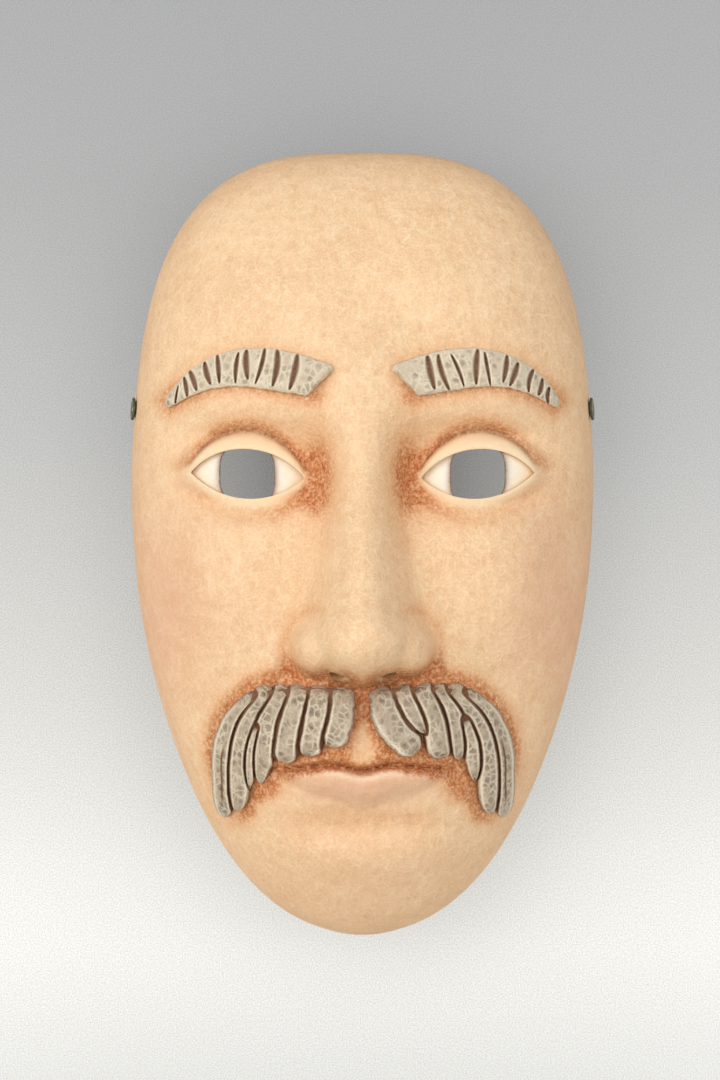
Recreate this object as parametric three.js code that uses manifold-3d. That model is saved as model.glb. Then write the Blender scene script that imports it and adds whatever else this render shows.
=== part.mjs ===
// A carved wooden theatre mask of an elderly man, life-size, worn on the face by a cord through two side holes.
// The face is a hollow shell carved from one block. The brows and the two moustache halves are carved apart, then
// glued and pegged on from behind with bamboo pegs. Eye plates are let into pockets behind the lids, metal eyelets
// line the cord holes, and three soft pads inside keep the mask off the wearer's face.
// Frame, in millimetres: X across the face, Y from front to back, Z up. The rim's flat back edge lies in the plane
// Y = 0, the face looks towards -Y, and the origin is the centre of that plane.
import * as THREE from "three";
import { mergeVertices } from "three/addons/utils/BufferGeometryUtils.js";
import Module from "manifold-3d";

const wasm = await Module();
wasm.setup();

// ---------------------------------------------------------------- driving dimensions

const HEIGHT = 220; // from the top of the rim to the bottom of the chin
const WIDTH = 131; // across the widest part of the rim
const DOME = 44; // how far the plain shell bulges in front of its rim wall
const RIM_DEPTH = 3; // straight wall round the back edge
const RIM_BAND = 8; // width of the flat back edge
const WALL = 9; // thickness of the shell behind the plain dome
const FIT = 0.3; // gap between pieces that are glued or pressed together
const PLATE_FIT = 0.45; // gap in front of an eye plate, in its pocket

// The face is divided by the sculptor's thirds: top to brow, brow to base of nose, base of nose to chin.
const THIRD = HEIGHT / 3;
const BROW_Z = HEIGHT / 2 - THIRD;
const NOSE_Z = BROW_Z - THIRD;
const EYE_Z = BROW_Z - THIRD / 4;
const MOUTH_Z = NOSE_Z - THIRD / 3;
const CHIN_Z = NOSE_Z - THIRD * 0.73;

const EYE_SPACING = 63; // between the sight holes, as between a wearer's pupils
const SIGHT_HOLE = 14.8; // across the rounded square
const LID_OPENING = { halfWidth: 15.5, above: 7.2, below: 6.4 };
const EYELID = { halfWidth: 19.4, halfHeight: 12.6, bulge: 10.4 };
const LID_THICKNESS = 2.2;
const EYE_PLATE = { halfWidth: 16.8, halfHeight: 9.8, thickness: 2.5 };
const EYE_TURN = 0.14; // how much the eye wraps round the head, as a slope
const EYE_TILT = 0.05; // rise of the outer corner, as a slope

const NOSE_TIP = 73.4; // depth of the tip in front of the rim plane
const NOSTRIL_RADIUS = 2.7;
const NOSTRIL_X = 6.4;
const MOUTH_WIDTH = 50;

const BROW = { thickness: 4.4, halfWidth: 6.2, inner: 11, sideGap: 11.5, locks: 10 }; // sideGap keeps it off the cord hole
const MOUSTACHE = { thickness: 6.2, locks: 7, part: 1.6 };
const EDGE = 1.1; // thickness of an applied piece at its edge

const PEG_RADIUS = 1.2;
const PEG_BITE = 2.4; // how far a peg goes into the piece it holds

const CORD_HOLE = { drop: 72.6, depth: 10.5, radius: 2.2 }; // below the top, in front of the rim plane
const EYELET = { wall: 0.6, flange: 1.0, flangeThickness: 0.7 };

const PAD = { thickness: 8 };
const FOREHEAD_PAD = { x: 0, z: 76, halfWidth: 29, halfHeight: 10 };
const CHEEK_PAD = { x: 38, z: -22, halfWidth: 9.5, halfHeight: 19 };

const PAINT = new THREE.MeshStandardMaterial({ color: 0xe8c398, roughness: 0.62, metalness: 0 });
const HAIR = new THREE.MeshStandardMaterial({ color: 0x9c8f80, roughness: 0.7, metalness: 0 });
const EYE_WHITE = new THREE.MeshStandardMaterial({ color: 0xf8eedb, roughness: 0.42, metalness: 0 });
const BAMBOO = new THREE.MeshStandardMaterial({ color: 0xc9a76a, roughness: 0.6, metalness: 0 });
const METAL = new THREE.MeshStandardMaterial({ color: 0x9a927f, roughness: 0.38, metalness: 0.9 });
const PAD_CLOTH = new THREE.MeshStandardMaterial({ color: 0xb9a98c, roughness: 0.9, metalness: 0 });

// ---------------------------------------------------------------- small functions

const clamp01 = (t) => Math.min(1, Math.max(0, t));
const step = (from, to, t) => {
  const s = clamp01((t - from) / (to - from));
  return s * s * (3 - 2 * s);
};
const softMax = (a, b, blend) => (a + b + Math.hypot(a - b, blend)) / 2;
const mound = (x, z, cx, cz, rx, rz, power = 2) =>
  Math.exp(-(Math.abs((x - cx) / rx) ** power + Math.abs((z - cz) / rz) ** power));
const ridge = (t, width) => Math.exp(-((t / width) ** 2));

// A smooth curve through [place, value] pairs, read at t.
function curveAt(points, t) {
  const last = points.length - 1;
  const slopeAt = (i) => {
    const a = points[Math.max(0, i - 1)];
    const b = points[Math.min(last, i + 1)];
    return (b[1] - a[1]) / (b[0] - a[0]);
  };
  let i = 0;
  while (i < last - 1 && t > points[i + 1][0]) i += 1;
  const span = points[i + 1][0] - points[i][0];
  const s = clamp01((t - points[i][0]) / span);
  return (
    (1 + 2 * s) * (1 - s) ** 2 * points[i][1] +
    s * (1 - s) ** 2 * span * slopeAt(i) +
    s * s * (3 - 2 * s) * points[i + 1][1] +
    s * s * (s - 1) * span * slopeAt(i + 1)
  );
}

// Depth at (x, z) of a round knob: an ellipsoid whose front is at top. Past its shoulder it falls away steeply.
function knob(x, z, halfWidth, halfHeight, top, bulge, shoulder = 0.93) {
  const s = Math.hypot(x / halfWidth, z / halfHeight);
  if (s < shoulder) return top - bulge * (1 - Math.sqrt(1 - s * s));
  const edge = Math.sqrt(1 - shoulder * shoulder);
  const past = s - shoulder;
  return top - bulge * (1 - edge + (shoulder / edge) * past + 2 * past * past);
}

// ---------------------------------------------------------------- the mask's outline

const taper = (t) => 1 - 0.15 * step(0.25, -1.05, t);
const squareness = (rise) => 2.25 + 0.75 * step(-0.3, 0.7, rise);

// How far out (x, z) lies: 0 at the middle, 1 on the outline drawn in by inset.
function outward(x, z, inset = 0) {
  const t = z / (HEIGHT / 2 - inset);
  const c = x / ((WIDTH / 2 - inset) * taper(t));
  const far = Math.hypot(c, t);
  if (far < 1e-9) return 0;
  const n = squareness(t / far);
  return (Math.abs(c) ** n + Math.abs(t) ** n) ** (1 / n);
}

// The point (x, z) for a place (u, v) on a square from -1 to 1: the square's edge is the outline.
function onOutline(u, v, inset = 0) {
  const c = u * Math.sqrt(1 - (v * v) / 2);
  const s = v * Math.sqrt(1 - (u * u) / 2);
  const far = Math.hypot(c, s);
  if (far < 1e-9) return [0, 0];
  const rise = s / far;
  const run = c / far;
  const n = squareness(rise);
  const k = (Math.abs(run) ** n + Math.abs(rise) ** n) ** (-1 / n);
  const t = s * k;
  return [c * k * (WIDTH / 2 - inset) * taper(t), t * (HEIGHT / 2 - inset)];
}

const inOval = (u, v, halfWidth, halfHeight) => [
  halfWidth * u * Math.sqrt(1 - (v * v) / 2),
  halfHeight * v * Math.sqrt(1 - (u * u) / 2),
];

// ---------------------------------------------------------------- the carved surfaces, as depths in front of Y = 0

const domeDepth = (r, depth) => depth * (1 - clamp01(r) ** 2.7) ** (1 / 2.15);
const EYE_X = EYE_SPACING / 2;
const EYE_DEPTH = RIM_DEPTH + domeDepth(outward(EYE_X, EYE_Z), DOME) + 0.2;

const NOSE_LINE = [
  [NOSE_Z - 23, 10],
  [NOSE_Z - 3, NOSE_TIP - 27],
  [NOSE_Z + 4, NOSE_TIP - 9],
  [NOSE_Z + 11, NOSE_TIP - 2.4],
  [NOSE_Z + 19, NOSE_TIP - 3.4],
  [NOSE_Z + 29, NOSE_TIP - 7.9],
  [EYE_Z - 12, NOSE_TIP - 14.4],
  [EYE_Z + 1, NOSE_TIP - 18.8],
  [EYE_Z + 9, NOSE_TIP - 20],
  [BROW_Z - 2, NOSE_TIP - 20.4],
  [BROW_Z + 9, NOSE_TIP - 23.4],
  [BROW_Z + 23, NOSE_TIP - 31],
  [BROW_Z + 43, 20],
  [BROW_Z + 80, -30],
];
const NOSE_ROUNDNESS = [
  [NOSE_Z - 23, 7],
  [NOSE_Z + 7, 6.4],
  [NOSE_Z + 25, 4.8],
  [EYE_Z - 12, 4.1],
  [EYE_Z + 1, 4.3],
  [BROW_Z - 9, 6],
  [BROW_Z + 2, 12],
  [BROW_Z + 20, 30],
];

// Forehead, brow ridges, sockets, cheeks, muzzle and chin, added to the plain dome.
function flesh(ax, z) {
  const browLine = BROW_Z - 2 + 3.2 * Math.sin(clamp01((ax - 4) / 50) * Math.PI * 0.85);
  const foldX = 18.5 + (NOSE_Z + 6 - z) * 0.4;
  const foldOn = step(NOSE_Z + 14, NOSE_Z + 2, z) * step(MOUTH_Z - 15, MOUTH_Z + 5, z);
  return (
    1.8 * mound(ax, z, 23, BROW_Z + 35, 19, 17) +
    3.8 * ridge(z - browLine, 7) * (1 - step(36, 60, ax)) * step(-6, 12, ax) +
    1.6 * mound(ax, z, 0, BROW_Z - 5, 8, 10) -
    7 * mound(ax, z, EYE_X, EYE_Z + 3.5, 20, 12, 2.6) -
    3.6 * mound(ax, z, 15, EYE_Z + 1, 7, 12) +
    4.2 * mound(ax, z, 41, EYE_Z - 28, 18, 19) -
    2.4 * mound(ax, z, 40, MOUTH_Z + 5, 14, 22) -
    1.5 * mound(ax, z, 58, BROW_Z + 7, 11, 22) +
    6 * mound(ax, z, 0, MOUTH_Z + 6, 26, 19, 2.3) -
    1.5 * ridge(ax - foldX, 3.4) * foldOn +
    1.3 * ridge(ax - foldX - 7, 6) * foldOn -
    3.4 * mound(ax, z, 0, MOUTH_Z - 17.5, 22, 5.8) +
    7 * mound(ax, z, 0, CHIN_Z, 27, 15, 2.2) +
    2 * mound(ax, z, 34, CHIN_Z + 14, 16, 18)
  );
}

function eyeKnob(ax, z, under) {
  const x = ax - EYE_X;
  const up = z - EYE_Z - EYE_TILT * x - 0.4;
  const { halfWidth, halfHeight, bulge } = EYELID;
  const sunk = under * 0.55;
  return knob(x, up, halfWidth - sunk, halfHeight - sunk, EYE_DEPTH - under, bulge - sunk, 0.9) - EYE_TURN * x;
}

function noseDepth(ax, z, depth) {
  const bridge = curveAt(NOSE_LINE, z) - (ax * ax) / (2 * curveAt(NOSE_ROUNDNESS, z));
  let d = softMax(depth, bridge, 5);
  d = softMax(d, knob(ax, z - NOSE_Z - 11.2, 12.2, 10.8, NOSE_TIP, 16), 3);
  d = softMax(d, knob(ax - 11.6, z - NOSE_Z - 8.3, 7.2, 7.8, NOSE_TIP - 11.4, 13), 2.4);
  return softMax(d, knob(ax, z - NOSE_Z - 3.5, 3.8, 5.2, NOSE_TIP - 8.4, 12), 2.4);
}

function lipRelief(ax, z) {
  const half = MOUTH_WIDTH / 2;
  const u = clamp01(ax / half);
  const line = MOUTH_Z - 0.9 * ridge(ax, 4.5) + 0.9 * ridge(ax - 9, 6) - 0.6 * u * u;
  const upper = 6.4 * (1 - u ** 1.7) + 0.9 * ridge(ax - 5, 3) - 1.2 * ridge(ax, 2.4);
  const lower = 10.7 * (1 - u ** 2.2);
  const roll = (s, power) => (s > 0 && s < 1 ? Math.sin(Math.PI * s ** 0.75) ** power : 0) * (1 - u ** 3);
  return (
    2 * roll((z - line) / Math.max(upper, 0.3), 0.9) +
    3.2 * roll((line - z) / Math.max(lower, 0.3), 0.95) -
    1.7 * ridge(z - line, 0.85) * (1 - step(0.93, 1.15, ax / half)) -
    mound(ax, z, half + 1.5, MOUTH_Z - 1.5, 3.2, 3.6)
  );
}

// Depth of the mask's face at (x, z).
function faceDepth(x, z) {
  const ax = Math.abs(x);
  const r = outward(x, z);
  let d = RIM_DEPTH + domeDepth(r, DOME) + flesh(ax, z) * (1 - step(0.68, 1, r));
  d = softMax(d, eyeKnob(ax, z, 0), 1.6);
  d = noseDepth(ax, z, d);
  return d + lipRelief(ax, z);
}

// Depth of the hollow at the back of the shell.
function hollowDepth(x, z) {
  const ax = Math.abs(x);
  const r = outward(x, z, RIM_BAND);
  const keep = 1 - step(0.7, 0.98, r);
  const plain = RIM_DEPTH + domeDepth(r, DOME - WALL);
  const eased = plain - keep * (5.5 * mound(ax, z, EYE_X - 2, EYE_Z, 24, 15, 2.6) + 3 * mound(ax, z, 0, MOUTH_Z - 19, 30, 9));
  const noseHollow = [
    [NOSE_Z - 13, 8],
    [NOSE_Z + 3, NOSE_TIP - 33],
    [NOSE_Z + 13, NOSE_TIP - 20.4],
    [NOSE_Z + 27, NOSE_TIP - 22.4],
    [EYE_Z - 10, NOSE_TIP - 27.4],
    [EYE_Z + 6, NOSE_TIP - 32.4],
    [BROW_Z + 3, NOSE_TIP - 39.4],
    [BROW_Z + 33, 0],
  ];
  return softMax(eased, curveAt(noseHollow, z) - (ax * ax) / 12, 6);
}

// ---------------------------------------------------------------- solids

function manifoldOf(geometry) {
  const plain = geometry.clone();
  plain.deleteAttribute("normal");
  plain.deleteAttribute("uv");
  const merged = mergeVertices(plain, 1e-4);
  return new wasm.Manifold(
    new wasm.Mesh({
      numProp: 3,
      vertProperties: new Float32Array(merged.attributes.position.array),
      triVerts: new Uint32Array(merged.index.array),
    }),
  );
}

function geometryOf(solid) {
  const made = solid.getMesh();
  const geometry = new THREE.BufferGeometry();
  geometry.setAttribute("position", new THREE.BufferAttribute(made.vertProperties, 3));
  geometry.setIndex(new THREE.BufferAttribute(made.triVerts, 1));
  const flat = geometry.toNonIndexed();
  flat.computeVertexNormals();
  return flat;
}

// A closed solid on a grid of columns by rows. place(u, v), with u and v from -1 to 1, gives (x, z), and front and
// back give the depths of its two faces there.
function gridSolid(columns, rows, place, front, back) {
  const positions = [];
  const triangles = [];
  const stride = columns + 1;
  const back0 = stride * (rows + 1);
  for (const depthAt of [front, back]) {
    for (let j = 0; j <= rows; j += 1) {
      for (let i = 0; i <= columns; i += 1) {
        const u = (2 * i) / columns - 1;
        const v = (2 * j) / rows - 1;
        const [x, z] = place(u, v);
        positions.push(x, -depthAt(x, z, u, v), z);
      }
    }
  }
  const quad = (a, b, c, d) => triangles.push(a, b, c, a, c, d);
  // Each cell of the front is split along the diagonal that lies nearer to the true surface at its middle.
  const depthOf = (k) => -positions[3 * k + 1];
  for (let j = 0; j < rows; j += 1) {
    for (let i = 0; i < columns; i += 1) {
      const a = j * stride + i;
      const corners = [a, a + 1, a + 1 + stride, a + stride];
      const u = (2 * i + 1) / columns - 1;
      const v = (2 * j + 1) / rows - 1;
      const [x, z] = place(u, v);
      const [d0, d1, d2, d3] = corners.map(depthOf);
      const middle = front(x, z, u, v);
      const turned = Math.abs((d1 + d3) / 2 - middle) < Math.abs((d0 + d2) / 2 - middle) - 1e-6;
      quad(...(turned ? [corners[1], corners[2], corners[3], corners[0]] : corners));
      quad(back0 + a, back0 + a + stride, back0 + a + 1 + stride, back0 + a + 1);
    }
  }
  const ring = [];
  for (let i = 0; i < columns; i += 1) ring.push(i);
  for (let j = 0; j < rows; j += 1) ring.push(j * stride + columns);
  for (let i = columns; i > 0; i -= 1) ring.push(rows * stride + i);
  for (let j = rows; j > 0; j -= 1) ring.push(j * stride);
  ring.forEach((a, k) => {
    const b = ring[(k + 1) % ring.length];
    quad(a, back0 + a, back0 + b, b);
  });
  const geometry = new THREE.BufferGeometry();
  geometry.setAttribute("position", new THREE.Float32BufferAttribute(positions, 3));
  geometry.setIndex(triangles);
  const solid = manifoldOf(geometry);
  return solid.volume() < 0 ? mirrored(geometry) : solid;
}

// The same surface with its faces turned round.
function mirrored(geometry) {
  const index = geometry.index.array;
  for (let i = 0; i < index.length; i += 3) [index[i + 1], index[i + 2]] = [index[i + 2], index[i + 1]];
  return manifoldOf(geometry);
}

// A prism of an outline in X and Z, from one depth to another.
function prism(outline, fromDepth, toDepth) {
  const geometry = new THREE.ExtrudeGeometry(new THREE.Shape(outline), {
    depth: toDepth - fromDepth,
    bevelEnabled: false,
  });
  geometry.rotateX(Math.PI / 2);
  geometry.translate(0, -fromDepth, 0);
  return manifoldOf(geometry);
}

// A round bar from one point to another.
function bar(from, to, radius, sides = 10) {
  const axis = new THREE.Vector3().subVectors(to, from);
  const geometry = new THREE.CylinderGeometry(radius, radius, axis.length(), sides);
  geometry.applyQuaternion(new THREE.Quaternion().setFromUnitVectors(new THREE.Vector3(0, 1, 0), axis.normalize()));
  const middle = new THREE.Vector3().addVectors(from, to).multiplyScalar(0.5);
  geometry.translate(middle.x, middle.y, middle.z);
  return manifoldOf(geometry);
}

const SIDES = [
  { name: "left", sign: -1 },
  { name: "right", sign: 1 },
];

// Steps that lie closer together towards the middle, where the face is worked finest.
const spread = (t) => t * (0.74 + 0.26 * t * t);

const BLOCK = gridSolid(38, 50, (u, v) => onOutline(spread(u), spread(v)), faceDepth, () => 0);
const HOLLOW = gridSolid(16, 24, (u, v) => onOutline(u, v, RIM_BAND), hollowDepth, () => -5);

// ---------------------------------------------------------------- eyes

function lidOutline(sign) {
  const points = [];
  const { halfWidth, above, below } = LID_OPENING;
  const steps = 12;
  for (let i = 0; i <= 2 * steps; i += 1) {
    const lower = i > steps;
    const x = halfWidth * Math.cos((Math.PI * i) / steps);
    const closing = 1 - Math.abs(x / halfWidth) ** 2.1;
    const rise = lower ? -below * Math.max(closing, 0) ** 0.95 : above * Math.max(closing, 0) ** 0.85;
    if (i < 2 * steps) points.push(new THREE.Vector2(sign * (EYE_X + x), EYE_Z + EYE_TILT * x + rise));
  }
  return points;
}

function sightOutline(sign) {
  const points = [];
  const sides = 20;
  for (let i = 0; i < sides; i += 1) {
    const a = (2 * Math.PI * i) / sides;
    const k = (Math.abs(Math.cos(a)) ** 3.4 + Math.abs(Math.sin(a)) ** 3.4) ** (-1 / 3.4);
    points.push(
      new THREE.Vector2(
        sign * EYE_X + (SIGHT_HOLE / 2) * k * Math.cos(a),
        EYE_Z + 0.2 + (SIGHT_HOLE / 2) * k * Math.sin(a),
      ),
    );
  }
  return points;
}

const eyeballDepth = (x, z) => eyeKnob(Math.abs(x), z, LID_THICKNESS);
const EYE_GRID = [12, 8];

const eyePlace = (sign, grow) => (u, v) => {
  const [x, z] = inOval(u, v, EYE_PLATE.halfWidth + grow, EYE_PLATE.halfHeight + grow);
  return [sign * (EYE_X + x), EYE_Z + EYE_TILT * x + z];
};

function eyePocket(sign) {
  return gridSolid(...EYE_GRID, eyePlace(sign, FIT), (x, z) => eyeballDepth(x, z) + PLATE_FIT, () => -5);
}

function eyePlate(sign) {
  const back = (x, z) => eyeballDepth(x, z) - EYE_PLATE.thickness;
  const blank = gridSolid(...EYE_GRID, eyePlace(sign, 0), eyeballDepth, back);
  return blank.subtract(prism(sightOutline(sign), 0, NOSE_TIP));
}

// ---------------------------------------------------------------- applied hair

// A piece of carved hair laid on the face: place gives its outline and height how far it stands up.
function laidOnFace(columns, rows, place, height) {
  const front = (x, z, u, v) => faceDepth(x, z) + FIT + height(u, v);
  const blank = gridSolid(columns, rows, place, front, (x, z) => faceDepth(x, z) - 3);
  return blank.subtract(BLOCK.translate([0, -FIT, 0]));
}

// Along a brow, from its blunt inner end at u = -1 to its thin outer end at u = 1.
function browLine(along) {
  const t = (along + 1) / 2;
  const outer = WIDTH / 2 - BROW.sideGap;
  return [BROW.inner + (outer - BROW.inner) * t + 4 * (t - t ** 3), BROW_Z + 5.5 + 8.5 * Math.sin(t * Math.PI * 0.72) - 11 * t ** 2.2];
}

const browPlace = (sign) => (u, v) => {
  const t = (u + 1) / 2;
  const [x, z] = browLine(u);
  const [x2, z2] = browLine(u + 0.01);
  const length = Math.hypot(x2 - x, z2 - z);
  const width = BROW.halfWidth * (0.62 + 0.38 * Math.sin(Math.min(1, t * 2.6) * Math.PI * 0.5)) * (1 - 0.8 * t ** 2.6);
  return [sign * (x - (width * v * (z2 - z)) / length), z + (width * v * (x2 - x)) / length];
};

function browHeight(u, v) {
  const t = (u + 1) / 2;
  const round = Math.sqrt(Math.max(0, 1 - v * v));
  const lock = Math.abs(Math.sin(Math.PI * BROW.locks * t));
  const swell = (1 - 0.45 * t * t) * Math.min(1, 0.45 + 4 * Math.min(t, 1 - t));
  return EDGE + (BROW.thickness - EDGE) * round * swell * (0.7 + 0.3 * lock ** 0.5);
}

// Along a moustache half, from the parting under the nose at u = -1 to its drooping end at u = 1. The upper edge
// follows the base of the nose, then falls past the corner of the mouth; the lower edge is the locks' ends.
const MOUSTACHE_TOP = [
  [0, MOUSTACHE.part, NOSE_Z - 5.5],
  [0.2, 9, NOSE_Z - 3.8],
  [0.4, 20, NOSE_Z - 2.5],
  [0.6, 30, NOSE_Z - 8],
  [0.8, 37.5, NOSE_Z - 20],
  [1, 41, NOSE_Z - 37],
];
const MOUSTACHE_ENDS = [
  [0, MOUSTACHE.part + 0.6, NOSE_Z - 15.5],
  [0.2, 9, NOSE_Z - 21],
  [0.4, 17, NOSE_Z - 22],
  [0.6, 24.5, NOSE_Z - 25],
  [0.8, 30, NOSE_Z - 33],
  [1, 34, NOSE_Z - 41],
];

const moustachePlace = (sign) => (u, v) => {
  const t = (u + 1) / 2;
  const across = (1 - v) / 2;
  const at = (line, which) => curveAt(line.map((p) => [p[0], p[which]]), t);
  const mix = (which) => at(MOUSTACHE_TOP, which) * (1 - across) + at(MOUSTACHE_ENDS, which) * across;
  return [sign * mix(1), mix(2)];
};

function moustacheHeight(u, v) {
  const t = (u + 1) / 2;
  const lock = Math.abs(Math.sin(Math.PI * MOUSTACHE.locks * t));
  const side = Math.min(1, 0.35 + 5 * Math.min(t, 1 - t));
  const round = Math.sqrt(Math.max(0, 1 - Math.abs(v) ** 2.6));
  return EDGE + (MOUSTACHE.thickness - EDGE) * round * side * (0.72 + 0.28 * lock ** 0.5);
}

// ---------------------------------------------------------------- pegs

// A peg runs straight back from inside an applied piece, through the shell, to the hollow.
function pegEnds([x, z]) {
  return [
    new THREE.Vector3(x, -hollowDepth(x, z), z),
    new THREE.Vector3(x, -(faceDepth(x, z) + FIT + PEG_BITE), z),
  ];
}

function peg(at) {
  const [inside, outside] = pegEnds(at);
  inside.y -= FIT;
  return bar(inside, outside, PEG_RADIUS);
}

function pegHole(at) {
  const [inside, outside] = pegEnds(at);
  inside.y += 2;
  outside.y -= FIT;
  return bar(inside, outside, PEG_RADIUS + FIT);
}

// ---------------------------------------------------------------- cord holes

// The point on the side wall where the cord hole is bored, and the way out of the wood there.
function cordHoleAt(sign) {
  const z = HEIGHT / 2 - CORD_HOLE.drop;
  let low = 0;
  let high = WIDTH / 2;
  for (let i = 0; i < 40; i += 1) {
    const x = (low + high) / 2;
    if (outward(x, z) < 1 && faceDepth(x, z) > CORD_HOLE.depth) low = x;
    else high = x;
  }
  const reach = 0.2;
  const slopeX = (faceDepth(low, z) - faceDepth(low - reach, z)) / reach;
  const slopeZ = (faceDepth(low - reach, z + reach) - faceDepth(low - reach, z - reach)) / (2 * reach);
  const out = new THREE.Vector3(-slopeX * sign, -1, -slopeZ).normalize();
  return { point: new THREE.Vector3(sign * low, -CORD_HOLE.depth, z), out };
}

function cordBore({ point, out }) {
  const from = point.clone().addScaledVector(out, 6);
  const to = point.clone().addScaledVector(out, -2.2 * WALL);
  return bar(from, to, CORD_HOLE.radius + FIT, 16);
}

// A flanged tube, turned about the hole's axis: its flange rests on the paint and its barrel lines the bore.
function eyelet({ point, out }) {
  const outer = CORD_HOLE.radius;
  const inner = outer - EYELET.wall;
  const flange = outer + EYELET.flange;
  const face = FIT + EYELET.flangeThickness;
  const barrel = -0.8 * WALL;
  const profile = [
    [inner, barrel],
    [outer, barrel],
    [outer, FIT],
    [flange, FIT],
    [flange - 0.5, face],
    [inner, face],
    [inner, barrel],
  ].map(([radius, along]) => new THREE.Vector2(radius, along));
  const geometry = new THREE.LatheGeometry(profile, 16);
  geometry.applyQuaternion(new THREE.Quaternion().setFromUnitVectors(new THREE.Vector3(0, 1, 0), out));
  geometry.translate(point.x, point.y, point.z);
  return manifoldOf(geometry);
}

// The shell is dressed flat under the flange, so that the flange sits down all round.
function eyeletSeat({ point, out }) {
  const from = point.clone().addScaledVector(out, 4);
  return bar(from, point, CORD_HOLE.radius + EYELET.flange + FIT, 16);
}

// ---------------------------------------------------------------- pads

// A soft pad glued into the hollow: its back follows the wood and its front is crowned towards the wearer.
function pad({ x, z, halfWidth, halfHeight }, sign = 1) {
  const place = (u, v) => {
    const [px, pz] = inOval(u, v, halfWidth, halfHeight);
    return [sign * (x + px), z + pz];
  };
  const crown = (u, v) => 2 + (PAD.thickness - 2) * Math.sqrt(Math.max(0, (1 - u * u) * (1 - v * v)));
  const back = (px, pz, u, v) => hollowDepth(px, pz) - FIT - crown(u, v);
  const blank = gridSolid(8, 6, place, (px, pz) => hollowDepth(px, pz) + 3, back);
  return blank.intersect(HOLLOW.translate([-Math.sign(sign * x) * FIT, FIT, -Math.sign(z) * FIT]));
}

// ---------------------------------------------------------------- the shell

function nostril(sign) {
  const mouth = new THREE.Vector3(sign * NOSTRIL_X, -(NOSE_TIP - 15), NOSE_Z - 4);
  const throat = new THREE.Vector3(sign * NOSTRIL_X * 0.85, -(NOSE_TIP - 27), NOSE_Z + 16);
  return bar(mouth, throat, NOSTRIL_RADIUS, 12);
}

function faceShell(holes, pegPlaces) {
  let shell = BLOCK.subtract(HOLLOW);
  for (const { sign } of SIDES) {
    shell = shell.subtract(eyePocket(sign));
    shell = shell.subtract(prism(lidOutline(sign), EYE_DEPTH - 12, NOSE_TIP));
    shell = shell.subtract(prism(sightOutline(sign), 0, NOSE_TIP));
    shell = shell.subtract(nostril(sign));
  }
  for (const hole of holes) shell = shell.subtract(eyeletSeat(hole)).subtract(cordBore(hole));
  for (const place of pegPlaces) shell = shell.subtract(pegHole(place));
  return shell;
}

// ---------------------------------------------------------------- assembly

const mask = new THREE.Group();

function addPiece(name, solid, material) {
  const mesh = new THREE.Mesh(geometryOf(solid), material);
  mesh.name = name;
  mask.add(mesh);
}

const pegged = [];
for (const { name, sign } of SIDES) {
  const brow = { place: browPlace(sign), pegs: [-0.45, 0.25], rows: 4, columns: 24, height: browHeight };
  const moustache = { place: moustachePlace(sign), pegs: [-0.6, 0.1, 0.6], rows: 5, columns: 24, height: moustacheHeight };
  pegged.push({ name: `brow_${name}`, ...brow }, { name: `moustache_${name}`, ...moustache });
}

const allPegs = [];
for (const piece of pegged) {
  let solid = laidOnFace(piece.columns, piece.rows, piece.place, piece.height);
  piece.pegs.forEach((along, i) => {
    const at = piece.place(along, 0);
    allPegs.push({ name: `${piece.name}_peg_${i + 1}`, at });
    solid = solid.subtract(pegHole(at));
  });
  addPiece(piece.name, solid, HAIR);
}
for (const { name, at } of allPegs) addPiece(name, peg(at), BAMBOO);

const cordHoles = SIDES.map(({ sign }) => cordHoleAt(sign));
addPiece("face_shell", faceShell(cordHoles, allPegs.map((p) => p.at)), PAINT);
SIDES.forEach(({ name, sign }, i) => {
  addPiece(`eye_plate_${name}`, eyePlate(sign), EYE_WHITE);
  addPiece(`cord_eyelet_${name}`, eyelet(cordHoles[i]), METAL);
  addPiece(`cheek_pad_${name}`, pad(CHEEK_PAD, sign), PAD_CLOTH);
});
addPiece("forehead_pad", pad(FOREHEAD_PAD), PAD_CLOTH);

export default mask;
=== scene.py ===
"""A carved and painted wooden theatre mask of an elderly man, with applied brows and moustache.

Shapes are worked out in millimetres, in the mask's own frame: X across the face, Y from front to back,
Z up. The rim's back edge lies in the plane Y = 0 and the face looks towards -Y. A "depth" is a height in
front of that plane.
"""

from __future__ import annotations

import logging
import math
from dataclasses import dataclass, field
from enum import Enum
from typing import Callable, Sequence

import bpy
import numpy as np
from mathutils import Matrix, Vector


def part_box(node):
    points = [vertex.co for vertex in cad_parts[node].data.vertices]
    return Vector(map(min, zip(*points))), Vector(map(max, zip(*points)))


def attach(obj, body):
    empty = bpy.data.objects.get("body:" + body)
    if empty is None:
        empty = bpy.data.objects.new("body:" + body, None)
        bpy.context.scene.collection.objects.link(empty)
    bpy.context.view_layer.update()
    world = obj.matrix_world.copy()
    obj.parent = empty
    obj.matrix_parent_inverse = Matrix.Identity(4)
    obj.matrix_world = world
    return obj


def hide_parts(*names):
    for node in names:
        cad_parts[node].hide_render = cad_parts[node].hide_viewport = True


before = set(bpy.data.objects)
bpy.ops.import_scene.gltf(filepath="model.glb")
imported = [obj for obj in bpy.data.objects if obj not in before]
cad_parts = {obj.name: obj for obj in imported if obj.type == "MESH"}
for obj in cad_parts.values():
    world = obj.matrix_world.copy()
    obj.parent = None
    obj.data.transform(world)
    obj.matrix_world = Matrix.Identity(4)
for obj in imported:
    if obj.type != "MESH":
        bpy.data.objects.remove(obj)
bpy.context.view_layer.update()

LOG = logging.getLogger("mask")
MM = 0.001
Array = np.ndarray
Colour = tuple[float, float, float, float]


# ---------------------------------------------------------------------- plain formulas


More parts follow.
